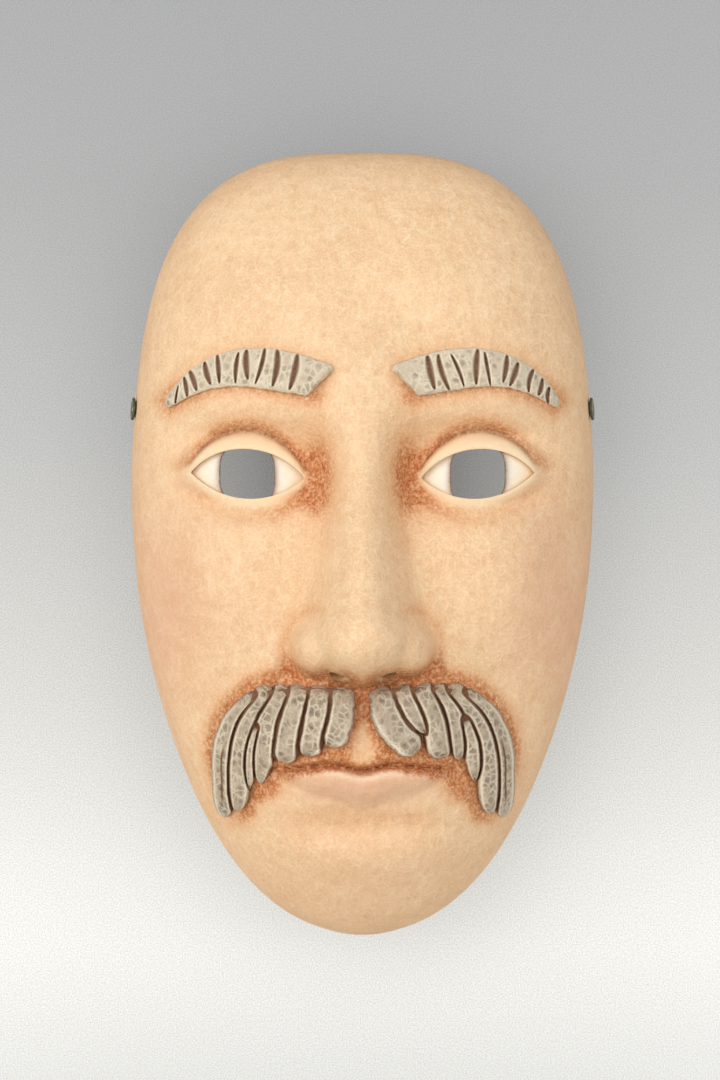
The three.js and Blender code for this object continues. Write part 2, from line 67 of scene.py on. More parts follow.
def step(low: float, high: float, t: Array) -> Array:
    """Smooth rise from 0 at low to 1 at high: 3 s squared less 2 s cubed.

    Args:
        low: where the rise starts.
        high: where it ends; it may be less than low, for a fall.
        t: the places to read it at.

    Returns:
        The rise at each place.
    """
    s = np.clip((t - low) / (high - low), 0.0, 1.0)
    return s * s * (3.0 - 2.0 * s)


def soft_max(a: Array, b: Array, blend: float) -> Array:
    """The larger of two heights, with the crease between them rounded over about blend millimetres."""
    return (a + b + np.sqrt((a - b) ** 2 + blend * blend)) / 2.0


def ridge(t: Array, width: float) -> Array:
    """A ridge with a round crest: e to the minus (t over width) squared."""
    return np.exp(-((t / width) ** 2))


def quarter_round(t: Array) -> Array:
    """A quarter circle's rise, from 0 at t = 0 to 1 at t = 1: the root of 1 less (1 less t) squared."""
    return np.sqrt(np.clip(1 - (1 - np.clip(t, 0, 1)) ** 2, 0, 1))


def mound(x: Array, z: Array, cx: float, cz: float, rx: float, rz: float, power: float = 2.0) -> Array:
    """A smooth mound of height 1 about (cx, cz), fading over rx and rz; a higher power is flatter on top."""
    return np.exp(-(np.abs((x - cx) / rx) ** power + np.abs((z - cz) / rz) ** power))


def curve_at(points: Sequence[tuple[float, float]], t: Array) -> Array:
    """A cubic curve through (place, value) points, each with the slope between its two neighbours.

    Args:
        points: the points, by rising place.
        t: the places to read the curve at.

    Returns:
        The curve's value at each place; the end values hold beyond the ends.
    """
    places = np.array([p[0] for p in points], float)
    values = np.array([p[1] for p in points], float)
    low = np.maximum(np.arange(len(points)) - 1, 0)
    high = np.minimum(np.arange(len(points)) + 1, len(points) - 1)
    slopes = (values[high] - values[low]) / (places[high] - places[low])
    i = np.clip(np.searchsorted(places, t) - 1, 0, len(points) - 2)
    span = places[i + 1] - places[i]
    s = np.clip((t - places[i]) / span, 0.0, 1.0)
    return (
        (1 + 2 * s) * (1 - s) ** 2 * values[i]
        + s * (1 - s) ** 2 * span * slopes[i]
        + s * s * (3 - 2 * s) * values[i + 1]
        + s * s * (s - 1) * span * slopes[i + 1]
    )


def knob(x: Array, z: Array, rx: float, rz: float, top: float, bulge: float, shoulder: float = 0.93) -> Array:
    """The depth of an ellipsoid whose front is at top; past its shoulder it falls ever more steeply."""
    s = np.hypot(x / rx, z / rz)
    edge = math.sqrt(1.0 - shoulder * shoulder)
    past = s - shoulder
    inside = top - bulge * (1.0 - np.sqrt(np.clip(1.0 - s * s, 0.0, 1.0)))
    outside = top - bulge * (1.0 - edge + shoulder / edge * past + 2.0 * past * past)
    return np.where(s < shoulder, inside, outside)


def scatter(a: Array, b: Array, seed: float) -> Array:
    """A number from 0 to 1 for each pair of whole numbers: the fraction of a large multiple of a sine."""
    return np.modf(np.abs(np.sin(a * 12.9898 + b * 78.233 + seed) * 43758.5453))[0]


def chisel_cells(x: Array, z: Array, size: float, seed: float) -> tuple[Array, Array]:
    """Distances from each place to the nearest two of the points scattered one to a square of the given size.

    Args:
        x: places across.
        z: places up.
        size: the side of a square.
        seed: a number that picks the scatter.

    Returns:
        The nearest and the second nearest distance, in units of size.
    """
    gx, gz = x / size, z / size
    nearest = np.full(gx.shape, 9.0)
    second = nearest.copy()
    for dx in (-1, 0, 1):
        for dz in (-1, 0, 1):
            cx, cz = np.floor(gx) + dx, np.floor(gz) + dz
            px = cx + 0.15 + 0.7 * scatter(cx, cz, seed)
            pz = cz + 0.15 + 0.7 * scatter(cz, cx, seed + 5.1)
            d = np.hypot(px - gx, pz - gz)
            second = np.minimum(second, np.maximum(nearest, d))
            nearest = np.minimum(nearest, d)
    return nearest, second


def abreast(x: Array, z: Array, dx: Array, dz: Array, offset: Array) -> tuple[Array, Array]:
    """The place that lies offset to the side of (x, z), on a line that runs along (dx, dz)."""
    length = np.hypot(dx, dz)
    return x - offset * dz / length, z + offset * dx / length


def wander(t: Array, seed: float) -> Array:
    """A slow, uneven wave between about -1 and 1: three sines whose periods don't fit each other."""
    return 0.5 * np.sin(t + seed) + 0.3 * np.sin(t * 2.3 + seed * 2.1) + 0.2 * np.sin(t * 4.1 + seed * 3.7)


# ---------------------------------------------------------------------- meshes


class Side(Enum):
    """The two halves of the mask, as seen from in front."""

    LEFT = -1
    RIGHT = 1

    @property
    def label(self) -> str:
        """The word that ends the names of this side's pieces."""
        return self.name.lower()


@dataclass
class Surface:
    """A mesh being made: points in millimetres, faces, and each named attribute's value at each point."""

    points: Array
    faces: list[list[int]]
    values: dict[str, Array] = field(default_factory=dict)

    @staticmethod
    def cells(rows: int, columns: int, wrap_rows: bool = False, wrap_columns: bool = False) -> Array:
        """The quads of a grid of points, counted row by row.

        Args:
            rows: rows of points.
            columns: points in a row.
            wrap_rows: join the last row to the first.
            wrap_columns: join the last column to the first.

        Returns:
            An array with the four point numbers of each quad.
        """
        down = np.arange(rows if wrap_rows else rows - 1)
        along = np.arange(columns if wrap_columns else columns - 1)
        j, i = np.meshgrid(down, along, indexing="ij")
        row, next_row = j * columns, (j + 1) % rows * columns
        i2 = (i + 1) % columns
        return np.stack([row + i, row + i2, next_row + i2, next_row + i], -1).reshape(-1, 4)

    @classmethod
    def tube(cls, grid: Array, values: dict[str, Array] | None = None) -> "Surface":
        """A closed form from rings of points, whose first and last rings each close on one point.

        Args:
            grid: rings by points round a ring by 3.
            values: attributes, each rings by points.

        Returns:
            The surface, with one point in place of each end ring.
        """
        rings, around = grid.shape[:2]
        middle = cls.cells(rings - 2, around, wrap_columns=True) + 1
        last = (rings - 2) * around + 1
        start = [[0, 1 + (k + 1) % around, 1 + k] for k in range(around)]
        end = [[last, last - around + k, last - around + (k + 1) % around] for k in range(around)]
        points = np.concatenate([grid[:1, 0], grid[1:-1].reshape(-1, 3), grid[-1:, 0]])
        joined = {
            name: np.concatenate([value[:1, 0], value[1:-1].ravel(), value[-1:, 0]])
            for name, value in (values or {}).items()
        }
        return cls(points, start + middle.tolist() + end, joined)

    def add(self, other: "Surface") -> "Surface":
        """This surface and another as one, unjoined; attributes that one lacks are 0 on it."""
        names = set(self.values) | set(other.values)
        none, other_none = np.zeros(len(self.points)), np.zeros(len(other.points))
        values = {
            name: np.concatenate([self.values.get(name, none), other.values.get(name, other_none)])
            for name in names
        }
        shift = len(self.points)
        faces = self.faces + [[k + shift for k in f] for f in other.faces]
        return Surface(np.concatenate([self.points, other.points]), faces, values)

    def build(self, name: str) -> bpy.types.Object:
        """Makes the object, at the origin, in metres, smooth, with its faces outwards."""
        mesh = bpy.data.meshes.new(name)
        mesh.from_pydata((self.points * MM).tolist(), [], self.faces)
        mesh.update()
        obj = bpy.data.objects.new(name, mesh)
        bpy.context.scene.collection.objects.link(obj)
        if signed_volume(mesh) < 0:
            mesh.flip_normals()
        for key, value in self.values.items():
            put_values(mesh, key, value)
        mesh.polygons.foreach_set("use_smooth", np.ones(len(mesh.polygons), bool))
        return obj


def mesh_points(mesh: bpy.types.Mesh) -> Array:
    """The mesh's points in millimetres, one row each."""
    flat = np.empty(len(mesh.vertices) * 3, np.float32)
    mesh.vertices.foreach_get("co", flat)
    return flat.reshape(-1, 3).astype(float) / MM


def put_values(mesh: bpy.types.Mesh, name: str, values: Array) -> None:
    """Stores one number for each point of the mesh as a named attribute."""
    layer = mesh.attributes.get(name) or mesh.attributes.new(name, "FLOAT", "POINT")
    layer.data.foreach_set("value", values.astype(np.float32))


def signed_volume(mesh: bpy.types.Mesh) -> float:
    """Six times the volume the faces enclose, negative if they point inwards: the sum of a . (b x c)."""
    mesh.calc_loop_triangles()
    index = np.empty(len(mesh.loop_triangles) * 3, np.int32)
    mesh.loop_triangles.foreach_get("vertices", index)
    corners = mesh_points(mesh)[index.reshape(-1, 3)]
    return float(np.einsum("ij,ij->i", corners[:, 0], np.cross(corners[:, 1], corners[:, 2])).sum())


def cut(target: bpy.types.Object, tools: Sequence[bpy.types.Object], operation: str = "DIFFERENCE") -> None:
    """Cuts each tool out of the target, or joins it on, and removes the tool.

    Args:
        target: the closed object that is worked on.
        tools: closed objects; they may overlap each other.
        operation: DIFFERENCE or UNION.
    """
    for tool in tools:
        modifier = target.modifiers.new("cut", "BOOLEAN")
        modifier.operation = operation
        modifier.solver = "MANIFOLD"
        modifier.object = tool
        graph = bpy.context.evaluated_depsgraph_get()
        mesh = bpy.data.meshes.new_from_object(target.evaluated_get(graph))
        target.modifiers.clear()
        old = target.data
        target.data = mesh
        bpy.data.meshes.remove(old)
        bpy.data.objects.remove(tool)


def sharpen(obj: bpy.types.Object, degrees: float) -> None:
    """Shades the object smooth except across edges that fold by more than the angle."""
    mesh = obj.data
    mesh.polygons.foreach_set("use_smooth", np.ones(len(mesh.polygons), bool))
    mesh.set_sharp_from_angle(angle=math.radians(degrees))


def oval(u: Array, v: Array, rx: float, rz: float) -> tuple[Array, Array]:
    """The place in an oval for a place on a square from -1 to 1: each side is bowed out to an arc."""
    return rx * u * np.sqrt(1 - v * v / 2), rz * v * np.sqrt(1 - u * u / 2)


def slab(
    place: Callable[[Array, Array], tuple[Array, Array]],
    front: Callable[[Array, Array, Array, Array], Array],
    back: Callable[[Array, Array, Array, Array], Array],
    columns: int,
    rows: int,
) -> Surface:
    """A closed slab on a grid.

    Args:
        place: x and z for (u, v) from -1 to 1.
        front: the depth of the front at (x, z, u, v).
        back: the depth of the back there.
        columns: cells across the grid.
        rows: cells up the grid.

    Returns:
        The closed surface.
    """
    u, v = np.meshgrid(np.linspace(-1, 1, columns + 1), np.linspace(-1, 1, rows + 1))
    x, z = place(u, v)
    sheets = [np.stack([x, -depth(x, z, u, v), z], -1).reshape(-1, 3) for depth in (front, back)]
    count = (columns + 1) * (rows + 1)
    quads = Surface.cells(rows + 1, columns + 1)
    number = np.arange(count).reshape(rows + 1, columns + 1)
    ring = np.concatenate([number[0, :-1], number[:-1, -1], number[-1, :0:-1], number[:0:-1, 0]])
    following = np.roll(ring, -1)
    walls = np.stack([ring, ring + count, following + count, following], -1)
    faces = quads.tolist() + (quads[:, ::-1] + count).tolist() + walls.tolist()
    return Surface(np.concatenate(sheets), faces)


def lathe(
    profile: Sequence[tuple[float, float]],
    start: Array,
    axis: Array,
    around: int = 48,
    values: Sequence[float] = (),
) -> Surface:
    """A closed ring or bar turned about an axis.

    Args:
        profile: (radius, distance along the axis) points in order. A ring's profile closes on its first
            point, and a bar's starts and ends on the axis.
        start: the point on the axis that distances are counted from.
        axis: the way the axis points.
        around: points round the axis.
        values: a value of the attribute wear for each profile point.

    Returns:
        The surface: each profile point carried round the axis.
    """
    along = axis / np.linalg.norm(axis)
    side = np.cross(along, [0.0, 0.0, 1.0] if abs(along[2]) < 0.9 else [1.0, 0.0, 0.0])
    side /= np.linalg.norm(side)
    up = np.cross(side, along)
    turn = np.linspace(0, 2 * np.pi, around, endpoint=False)
    spokes = np.cos(turn)[:, None] * side + np.sin(turn)[:, None] * up
    radius = np.array([p[0] for p in profile])
    height = np.array([p[1] for p in profile])
    grid = start + radius[:, None, None] * spokes + height[:, None, None] * along
    wear = np.repeat(np.array(values or [0.0] * len(profile))[:, None], around, 1)
    if radius[0] < 1e-9:
        return Surface.tube(grid, {"wear": wear})
    quads = Surface.cells(len(profile), around, wrap_rows=True, wrap_columns=True)
    return Surface(grid.reshape(-1, 3), quads.tolist(), {"wear": wear.ravel()})


# ---------------------------------------------------------------------- the face's form


@dataclass(frozen=True)
class FaceForm:
    """The carved form of the mask: its outline, its face on the sculptor's thirds, and its hollow."""

    height: float = 220.0
    width: float = 131.0
    dome: float = 44.0
    rim_depth: float = 3.0
    rim_band: float = 8.0
    wall: float = 9.0
    eye_spacing: float = 63.0
    sight_hole: float = 14.8
    lid_half_width: float = 15.5
    lid_above: float = 7.2
    lid_below: float = 6.4
    lid_thickness: float = 2.2
    nose_tip: float = 73.4
    mouth_width: float = 50.0
    eye_tilt: float = 0.05
    wing_x: float = 11.6
    wing_up: float = 8.3
    nostril_x: float = 6.4

    @property
    def brow_z(self) -> float:
        """Height of the brow: one third below the top."""
        return self.height / 6

    @property
    def nose_z(self) -> float:
        """Height of the base of the nose: two thirds below the top."""
        return -self.height / 6

    @property
    def eye_z(self) -> float:
        """Height of the eyes: a quarter of a third below the brow."""
        return self.brow_z - self.height / 12

    @property
    def mouth_z(self) -> float:
        """Height of the mouth: a third of a third below the nose."""
        return self.nose_z - self.height / 9

    @property
    def chin_z(self) -> float:
        """Height of the middle of the chin."""
        return self.nose_z - 0.73 * self.height / 3

    @property
    def eye_x(self) -> float:
        """Distance of each eye from the middle."""
        return self.eye_spacing / 2

    @property
    def eye_depth(self) -> float:
        """Depth of the plain dome at the eyes."""
        r = self.outward(np.array(self.eye_x), np.array(self.eye_z))
        return float(self.rim_depth + self.dome_depth(r, self.dome)) + 0.2

    @staticmethod
    def taper(t: Array) -> Array:
        """How the outline narrows towards the chin."""
        return 1 - 0.15 * step(0.25, -1.05, t)

    @staticmethod
    def squareness(rise: Array) -> Array:
        """The outline's exponent, which is squarer at the forehead than at the chin."""
        return 2.25 + 0.75 * step(-0.3, 0.7, rise)

    @staticmethod
    def dome_depth(r: Array, depth: float) -> Array:
        """The plain dome: depth times (1 less r to 2.7) to 1 over 2.15."""
        return depth * (1 - np.clip(r, 0, 1) ** 2.7) ** (1 / 2.15)

    def outward(self, x: Array, z: Array, inset: float = 0.0) -> Array:
        """How far out (x, z) lies: 0 in the middle, 1 on the outline drawn in by inset."""
        t = z / (self.height / 2 - inset)
        c = x / ((self.width / 2 - inset) * self.taper(t))
        far = np.maximum(np.hypot(c, t), 1e-9)
        n = self.squareness(t / far)
        return (np.abs(c) ** n + np.abs(t) ** n) ** (1 / n)

    def on_outline(self, u: Array, v: Array, inset: float = 0.0) -> tuple[Array, Array]:
        """The place for (u, v) on a square from -1 to 1 whose edge is the outline drawn in by inset."""
        c, s = oval(u, v, 1.0, 1.0)
        far = np.maximum(np.hypot(c, s), 1e-9)
        n = self.squareness(s / far)
        k = (np.abs(c / far) ** n + np.abs(s / far) ** n + 1e-12) ** (-1 / n)
        k = np.where(np.hypot(c, s) < 1e-9, 0.0, k)
        t = s * k
        return c * k * (self.width / 2 - inset) * self.taper(t), t * (self.height / 2 - inset)

    def fold_place(self, z: Array) -> Array:
        """How far out the fold from the nose to the mouth's corner lies at each height."""
        return 18.5 + (self.nose_z + 6 - z) * 0.4

    def flesh(self, ax: Array, z: Array) -> Array:
        """Forehead, brow ridges, sockets, cheeks, muzzle and chin, as heights added to the dome."""
        b, e, n, m, c = self.brow_z, self.eye_z, self.nose_z, self.mouth_z, self.chin_z
        brow_line = b - 2 + 3.2 * np.sin(np.clip((ax - 4) / 50, 0, 1) * np.pi * 0.85)
        fold_x = self.fold_place(z)
        fold_on = step(n + 14, n + 2, z) * step(m - 15, m + 5, z)
        return (
            1.8 * mound(ax, z, 23, b + 35, 19, 17)
            + 3.4 * ridge(z - brow_line, 7.5) * (1 - step(36, 60, ax)) * step(-6, 12, ax)
            + 1.6 * mound(ax, z, 0, b - 5, 8, 10)
            - 7.0 * mound(ax, z, self.eye_x, e + 3.5, 20, 12, 2.6)
            - 3.6 * mound(ax, z, 15, e + 1, 7, 12)
            + 4.2 * mound(ax, z, 41, e - 28, 18, 19)
            - 2.4 * mound(ax, z, 40, m + 5, 14, 22)
            - 1.5 * mound(ax, z, 58, b + 7, 11, 22)
            + 6.0 * mound(ax, z, 0, m + 6, 26, 19, 2.3)
            - 1.3 * ridge(ax - fold_x, 3.8) * fold_on
            + 1.3 * ridge(ax - fold_x - 7, 6) * fold_on
            - 3.4 * mound(ax, z, 0, m - 17.5, 22, 5.8)
            + 7.0 * mound(ax, z, 0, c, 27, 15, 2.2)
            + 2.0 * mound(ax, z, 34, c + 14, 16, 18)
        )

    def above_eye(self, x: Array, z: Array) -> Array:
        """Height above the eye's tilted middle line, at x outwards from the eye's middle."""
        return z - self.eye_z - self.eye_tilt * x

    def lid_rise(self, x: Array) -> tuple[Array, Array]:
        """How far the opening between the lids reaches above and below the eye's middle line."""
        closing = np.clip(1 - np.abs(x / self.lid_half_width) ** 2.1, 0, 1)
        return self.lid_above * closing**0.85, self.lid_below * closing**0.95

    @staticmethod
    def lid_width(x: Array) -> Array:
        """The upper lid's width, which thins towards both corners."""
        return 4.4 * np.clip(1 - np.abs(x / 21.0) ** 2.4, 0.12, 1)

    def eye_knob(self, ax: Array, z: Array, under: float) -> Array:
        """The eyelid's ball, or with under above 0 the eyeball that lies that far beneath it."""
        x = ax - self.eye_x
        up = self.above_eye(x, z) - 0.4
        sunk = under * 0.55
        ball = knob(x, up, 19.4 - sunk, 12.6 - sunk, self.eye_depth - under, 10.4 - sunk, 0.9)
        return ball - 0.14 * x

    def lid_gap(self, ax: Array, z: Array) -> tuple[Array, Array]:
        """Distances outside the lid opening's upper and lower edges, negative inside it."""
        x = ax - self.eye_x
        up = self.above_eye(x, z)
        upper, lower = self.lid_rise(x)
        return up - upper, -up - lower

    def lids(self, ax: Array, z: Array) -> Array:
        """The upper lid's band and the crease above it, and the lower lid's rolled edge."""
        x = ax - self.eye_x
        above, below = self.lid_gap(ax, z)
        reach = 1 - step(0.86, 1.22, np.abs(x) / self.lid_half_width)
        width = self.lid_width(x)
        up = self.above_eye(x, z)
        band = step(-0.4, 0.9, above) * (1 - step(0.68, 1.14, above / width)) * (up > 0)
        crease = ridge(above - width * 1.22, 1.15) * (up > 0)
        roll = step(-0.3, 0.9, below) * (1 - step(1.2, 3.4, below)) * (up <= 0)
        pouch = ridge(below - 5.2, 1.5) * (up <= 0)
        return reach * (0.95 * band - 0.95 * crease + 0.55 * roll - 0.4 * pouch)

    def nose(self, ax: Array, z: Array, depth: Array) -> Array:
        """The bridge, the tip, the wings and the septum, blended into the face."""
        n, b, e, tip = self.nose_z, self.brow_z, self.eye_z, self.nose_tip
        line = [
            (n - 23, 10),
            (n - 3, tip - 27),
            (n + 4, tip - 9),
            (n + 11, tip - 2.4),
            (n + 19, tip - 3.4),
            (n + 29, tip - 7.9),
            (e - 12, tip - 14.4),
            (e + 1, tip - 18.8),
            (e + 9, tip - 20),
            (b - 2, tip - 20.4),
            (b + 9, tip - 23.4),
            (b + 23, tip - 31),
            (b + 43, 20),
            (b + 80, -30),
        ]
        roundness = [
            (n - 23, 7),
            (n + 7, 6.4),
            (n + 25, 4.8),
            (e - 12, 4.1),
            (e + 1, 4.3),
            (b - 9, 6),
            (b + 2, 12),
            (b + 20, 30),
        ]
        bridge = curve_at(line, z) - ax**2 / (2 * curve_at(roundness, z))
        d = soft_max(depth, bridge, 5)
        d = soft_max(d, knob(ax, z - n - 11.2, 12.2, 10.8, tip, 16), 3)
        d = soft_max(d, knob(ax - self.wing_x, z - n - self.wing_up, 7.2, 7.8, tip - 11.4, 13), 1.9)
        return soft_max(d, knob(ax, z - n - 3.5, 3.8, 5.2, tip - 8.4, 12), 2.4)

    def mouth_line(self, ax: Array) -> Array:
        """Height of the line between the lips."""
        u = np.clip(ax / (self.mouth_width / 2), 0, 1)
        return self.mouth_z - 0.9 * ridge(ax, 4.5) + 0.9 * ridge(ax - 9, 6) - 0.6 * u * u

    def lips(self, ax: Array, z: Array) -> Array:
        """Both lips' rolls, the line between them, and the dimples at the corners."""
        half = self.mouth_width / 2
        u = np.clip(ax / half, 0, 1)
        line = self.mouth_line(ax)
        upper = np.maximum(6.4 * (1 - u**1.7) + 0.9 * ridge(ax - 5, 3) - 1.2 * ridge(ax, 2.4), 0.3)
        lower = np.maximum(10.7 * (1 - u**2.2), 0.3)

        def roll(s: Array, power: float) -> Array:
            """One lip across its height: a half sine leaning to the line."""
            on = (s > 0) & (s < 1)
            return np.where(on, np.sin(np.pi * np.clip(s, 0, 1) ** 0.75), 0.0) ** power * (1 - u**3)

        return (
            2.0 * roll((z - line) / upper, 0.9)
            + 3.2 * roll((line - z) / lower, 0.95)
            - 1.7 * ridge(z - line, 0.85) * (1 - step(0.93, 1.15, ax / half))
            - mound(ax, z, half + 1.5, self.mouth_z - 1.5, 3.2, 3.6)
        )

    def philtrum(self, ax: Array, z: Array) -> Array:
        """The shallow groove under the nose, with a soft ridge on each side."""
        on = step(self.nose_z - 1, self.nose_z - 5, z) * step(self.nose_z - 20, self.nose_z - 16, z)
        return on * (0.7 * ridge(ax - 4.6, 2) - 1.1 * ridge(ax, 2.8))

    def smooth_depth(self, x: Array, z: Array) -> Array:
        """The face without its tool marks."""
        ax = np.abs(x)
        r = self.outward(x, z)
        d = self.rim_depth + self.dome_depth(r, self.dome) + self.flesh(ax, z) * (1 - step(0.68, 1, r))
        d = soft_max(d, self.eye_knob(ax, z, 0), 1.3) + self.lids(ax, z)
        d = self.nose(ax, z, d)
        return d + self.lips(ax, z) + self.philtrum(ax, z)

    def depth(self, x: Array, z: Array) -> Array:
        """The face with shallow chisel facets, which fade out at the rim and round the eyes."""
        near, second = chisel_cells(x + 0.8 * np.sin(z / 7), z * 0.92 + 0.9 * np.sin(x / 6), 3.9, 2.3)
        broad = chisel_cells(x, z, 9.0, 7.7)[0]
        above, below = self.lid_gap(np.abs(x), z)
        calm = 1 - 0.75 * (1 - step(2.0, 6.0, np.maximum(above, below)))
        fade = (1 - step(0.93, 1.0, self.outward(x, z))) * calm
        facets = 0.42 * np.minimum(near, 0.9) ** 2 + 0.12 * ridge(second - near, 0.16)
        facets = facets + 0.22 * np.minimum(broad, 1) ** 2
        return self.smooth_depth(x, z) + (facets - 0.18) * fade

    def hollow(self, x: Array, z: Array) -> Array:
        """The hollow at the back, without its tool marks."""
        ax = np.abs(x)
        r = self.outward(x, z, self.rim_band)
        keep = 1 - step(0.7, 0.98, r)
        plain = self.rim_depth + self.dome_depth(r, self.dome - self.wall)
        eyes = 5.5 * mound(ax, z, self.eye_x - 2, self.eye_z, 24, 15, 2.6)
        eased = plain - keep * (eyes + 3 * mound(ax, z, 0, self.mouth_z - 19, 30, 9))
        n, b, e, tip = self.nose_z, self.brow_z, self.eye_z, self.nose_tip
        line = [
            (n - 13, 8),
            (n + 3, tip - 33),
            (n + 13, tip - 20.4),
            (n + 27, tip - 22.4),
            (e - 10, tip - 27.4),
            (e + 6, tip - 32.4),
            (b + 3, tip - 39.4),
            (b + 33, 0),
        ]
        return soft_max(eased, curve_at(line, z) - ax**2 / 12, 6)

    def gouged_hollow(self, x: Array, z: Array) -> Array:
        """The hollow with the scoops of a round gouge, which run down the mask in uneven rows."""
        near, second = chisel_cells(x + 1.2 * np.sin(z / 11), z * 0.42 + 0.6 * np.sin(x / 5), 5.2, 4.4)
        r = self.outward(x, z, self.rim_band)
        scoops = 0.55 * np.minimum(near, 0.9) ** 2 + 0.18 * ridge(second - near, 0.14)
        return self.hollow(x, z) - scoops * (1 - step(0.86, 0.98, r))


FORM = FaceForm()


# ---------------------------------------------------------------------- shader writing


def paint(red: int, green: int, blue: int) -> Colour:
    """A colour as written in 0 to 255 steps, turned to the linear values that shaders use."""

    def linear(step_value: int) -> float:
        """One channel."""
        c = step_value / 255
        return c / 12.92 if c <= 0.04045 else ((c + 0.055) / 1.055) ** 2.4

    return (linear(red), linear(green), linear(blue), 1.0)


class Value:
    """A number that varies over a surface. Each operator between values adds one Math node to the tree."""

    def __init__(self, writer: "Writer", socket: bpy.types.NodeSocket) -> None:
        """Wraps the output socket of a node in the writer's tree."""
        self.writer = writer
        self.socket = socket

    def math(self, operation: str, *others: "Value | float", first: bool = True) -> "Value":
        """A Math node of this value and up to two more; first tells whether this value comes first."""
        items: list[Value | float] = [self, *others] if first else [*others, self]
        node = self.writer.node("ShaderNodeMath", {"operation": operation}, dict(enumerate(items)))
        return Value(self.writer, node.outputs[0])

    def __add__(self, other: "Value | float") -> "Value":
        """self + other."""
        return self.math("ADD", other)

    __radd__ = __add__

    def __mul__(self, other: "Value | float") -> "Value":
        """self * other."""
        return self.math("MULTIPLY", other)

    __rmul__ = __mul__

    def __sub__(self, other: "Value | float") -> "Value":
        """self - other."""
        return self.math("SUBTRACT", other)

    def __rsub__(self, other: "Value | float") -> "Value":
        """other - self."""
        return self.math("SUBTRACT", other, first=False)

    def __truediv__(self, other: "Value | float") -> "Value":
        """self / other."""
        return self.math("DIVIDE", other)

    def __pow__(self, other: "Value | float") -> "Value":
        """self to the power of other."""
        return self.math("POWER", other)

    def clamped(self) -> "Value":
        """This value kept between 0 and 1."""
        node = self.writer.node("ShaderNodeClamp", {}, {"Value": self})
        return Value(self.writer, node.outputs[0])

    def between(self, low: float, high: float) -> "Value":
        """A smooth rise from 0 where this value is low to 1 where it is high."""
        node = self.writer.node(
            "ShaderNodeMapRange",
            {"interpolation_type": "SMOOTHSTEP"},
            {"Value": self, "From Min": low, "From Max": high, "To Min": 0.0, "To Max": 1.0},
        )
        return Value(self.writer, node.outputs[0])


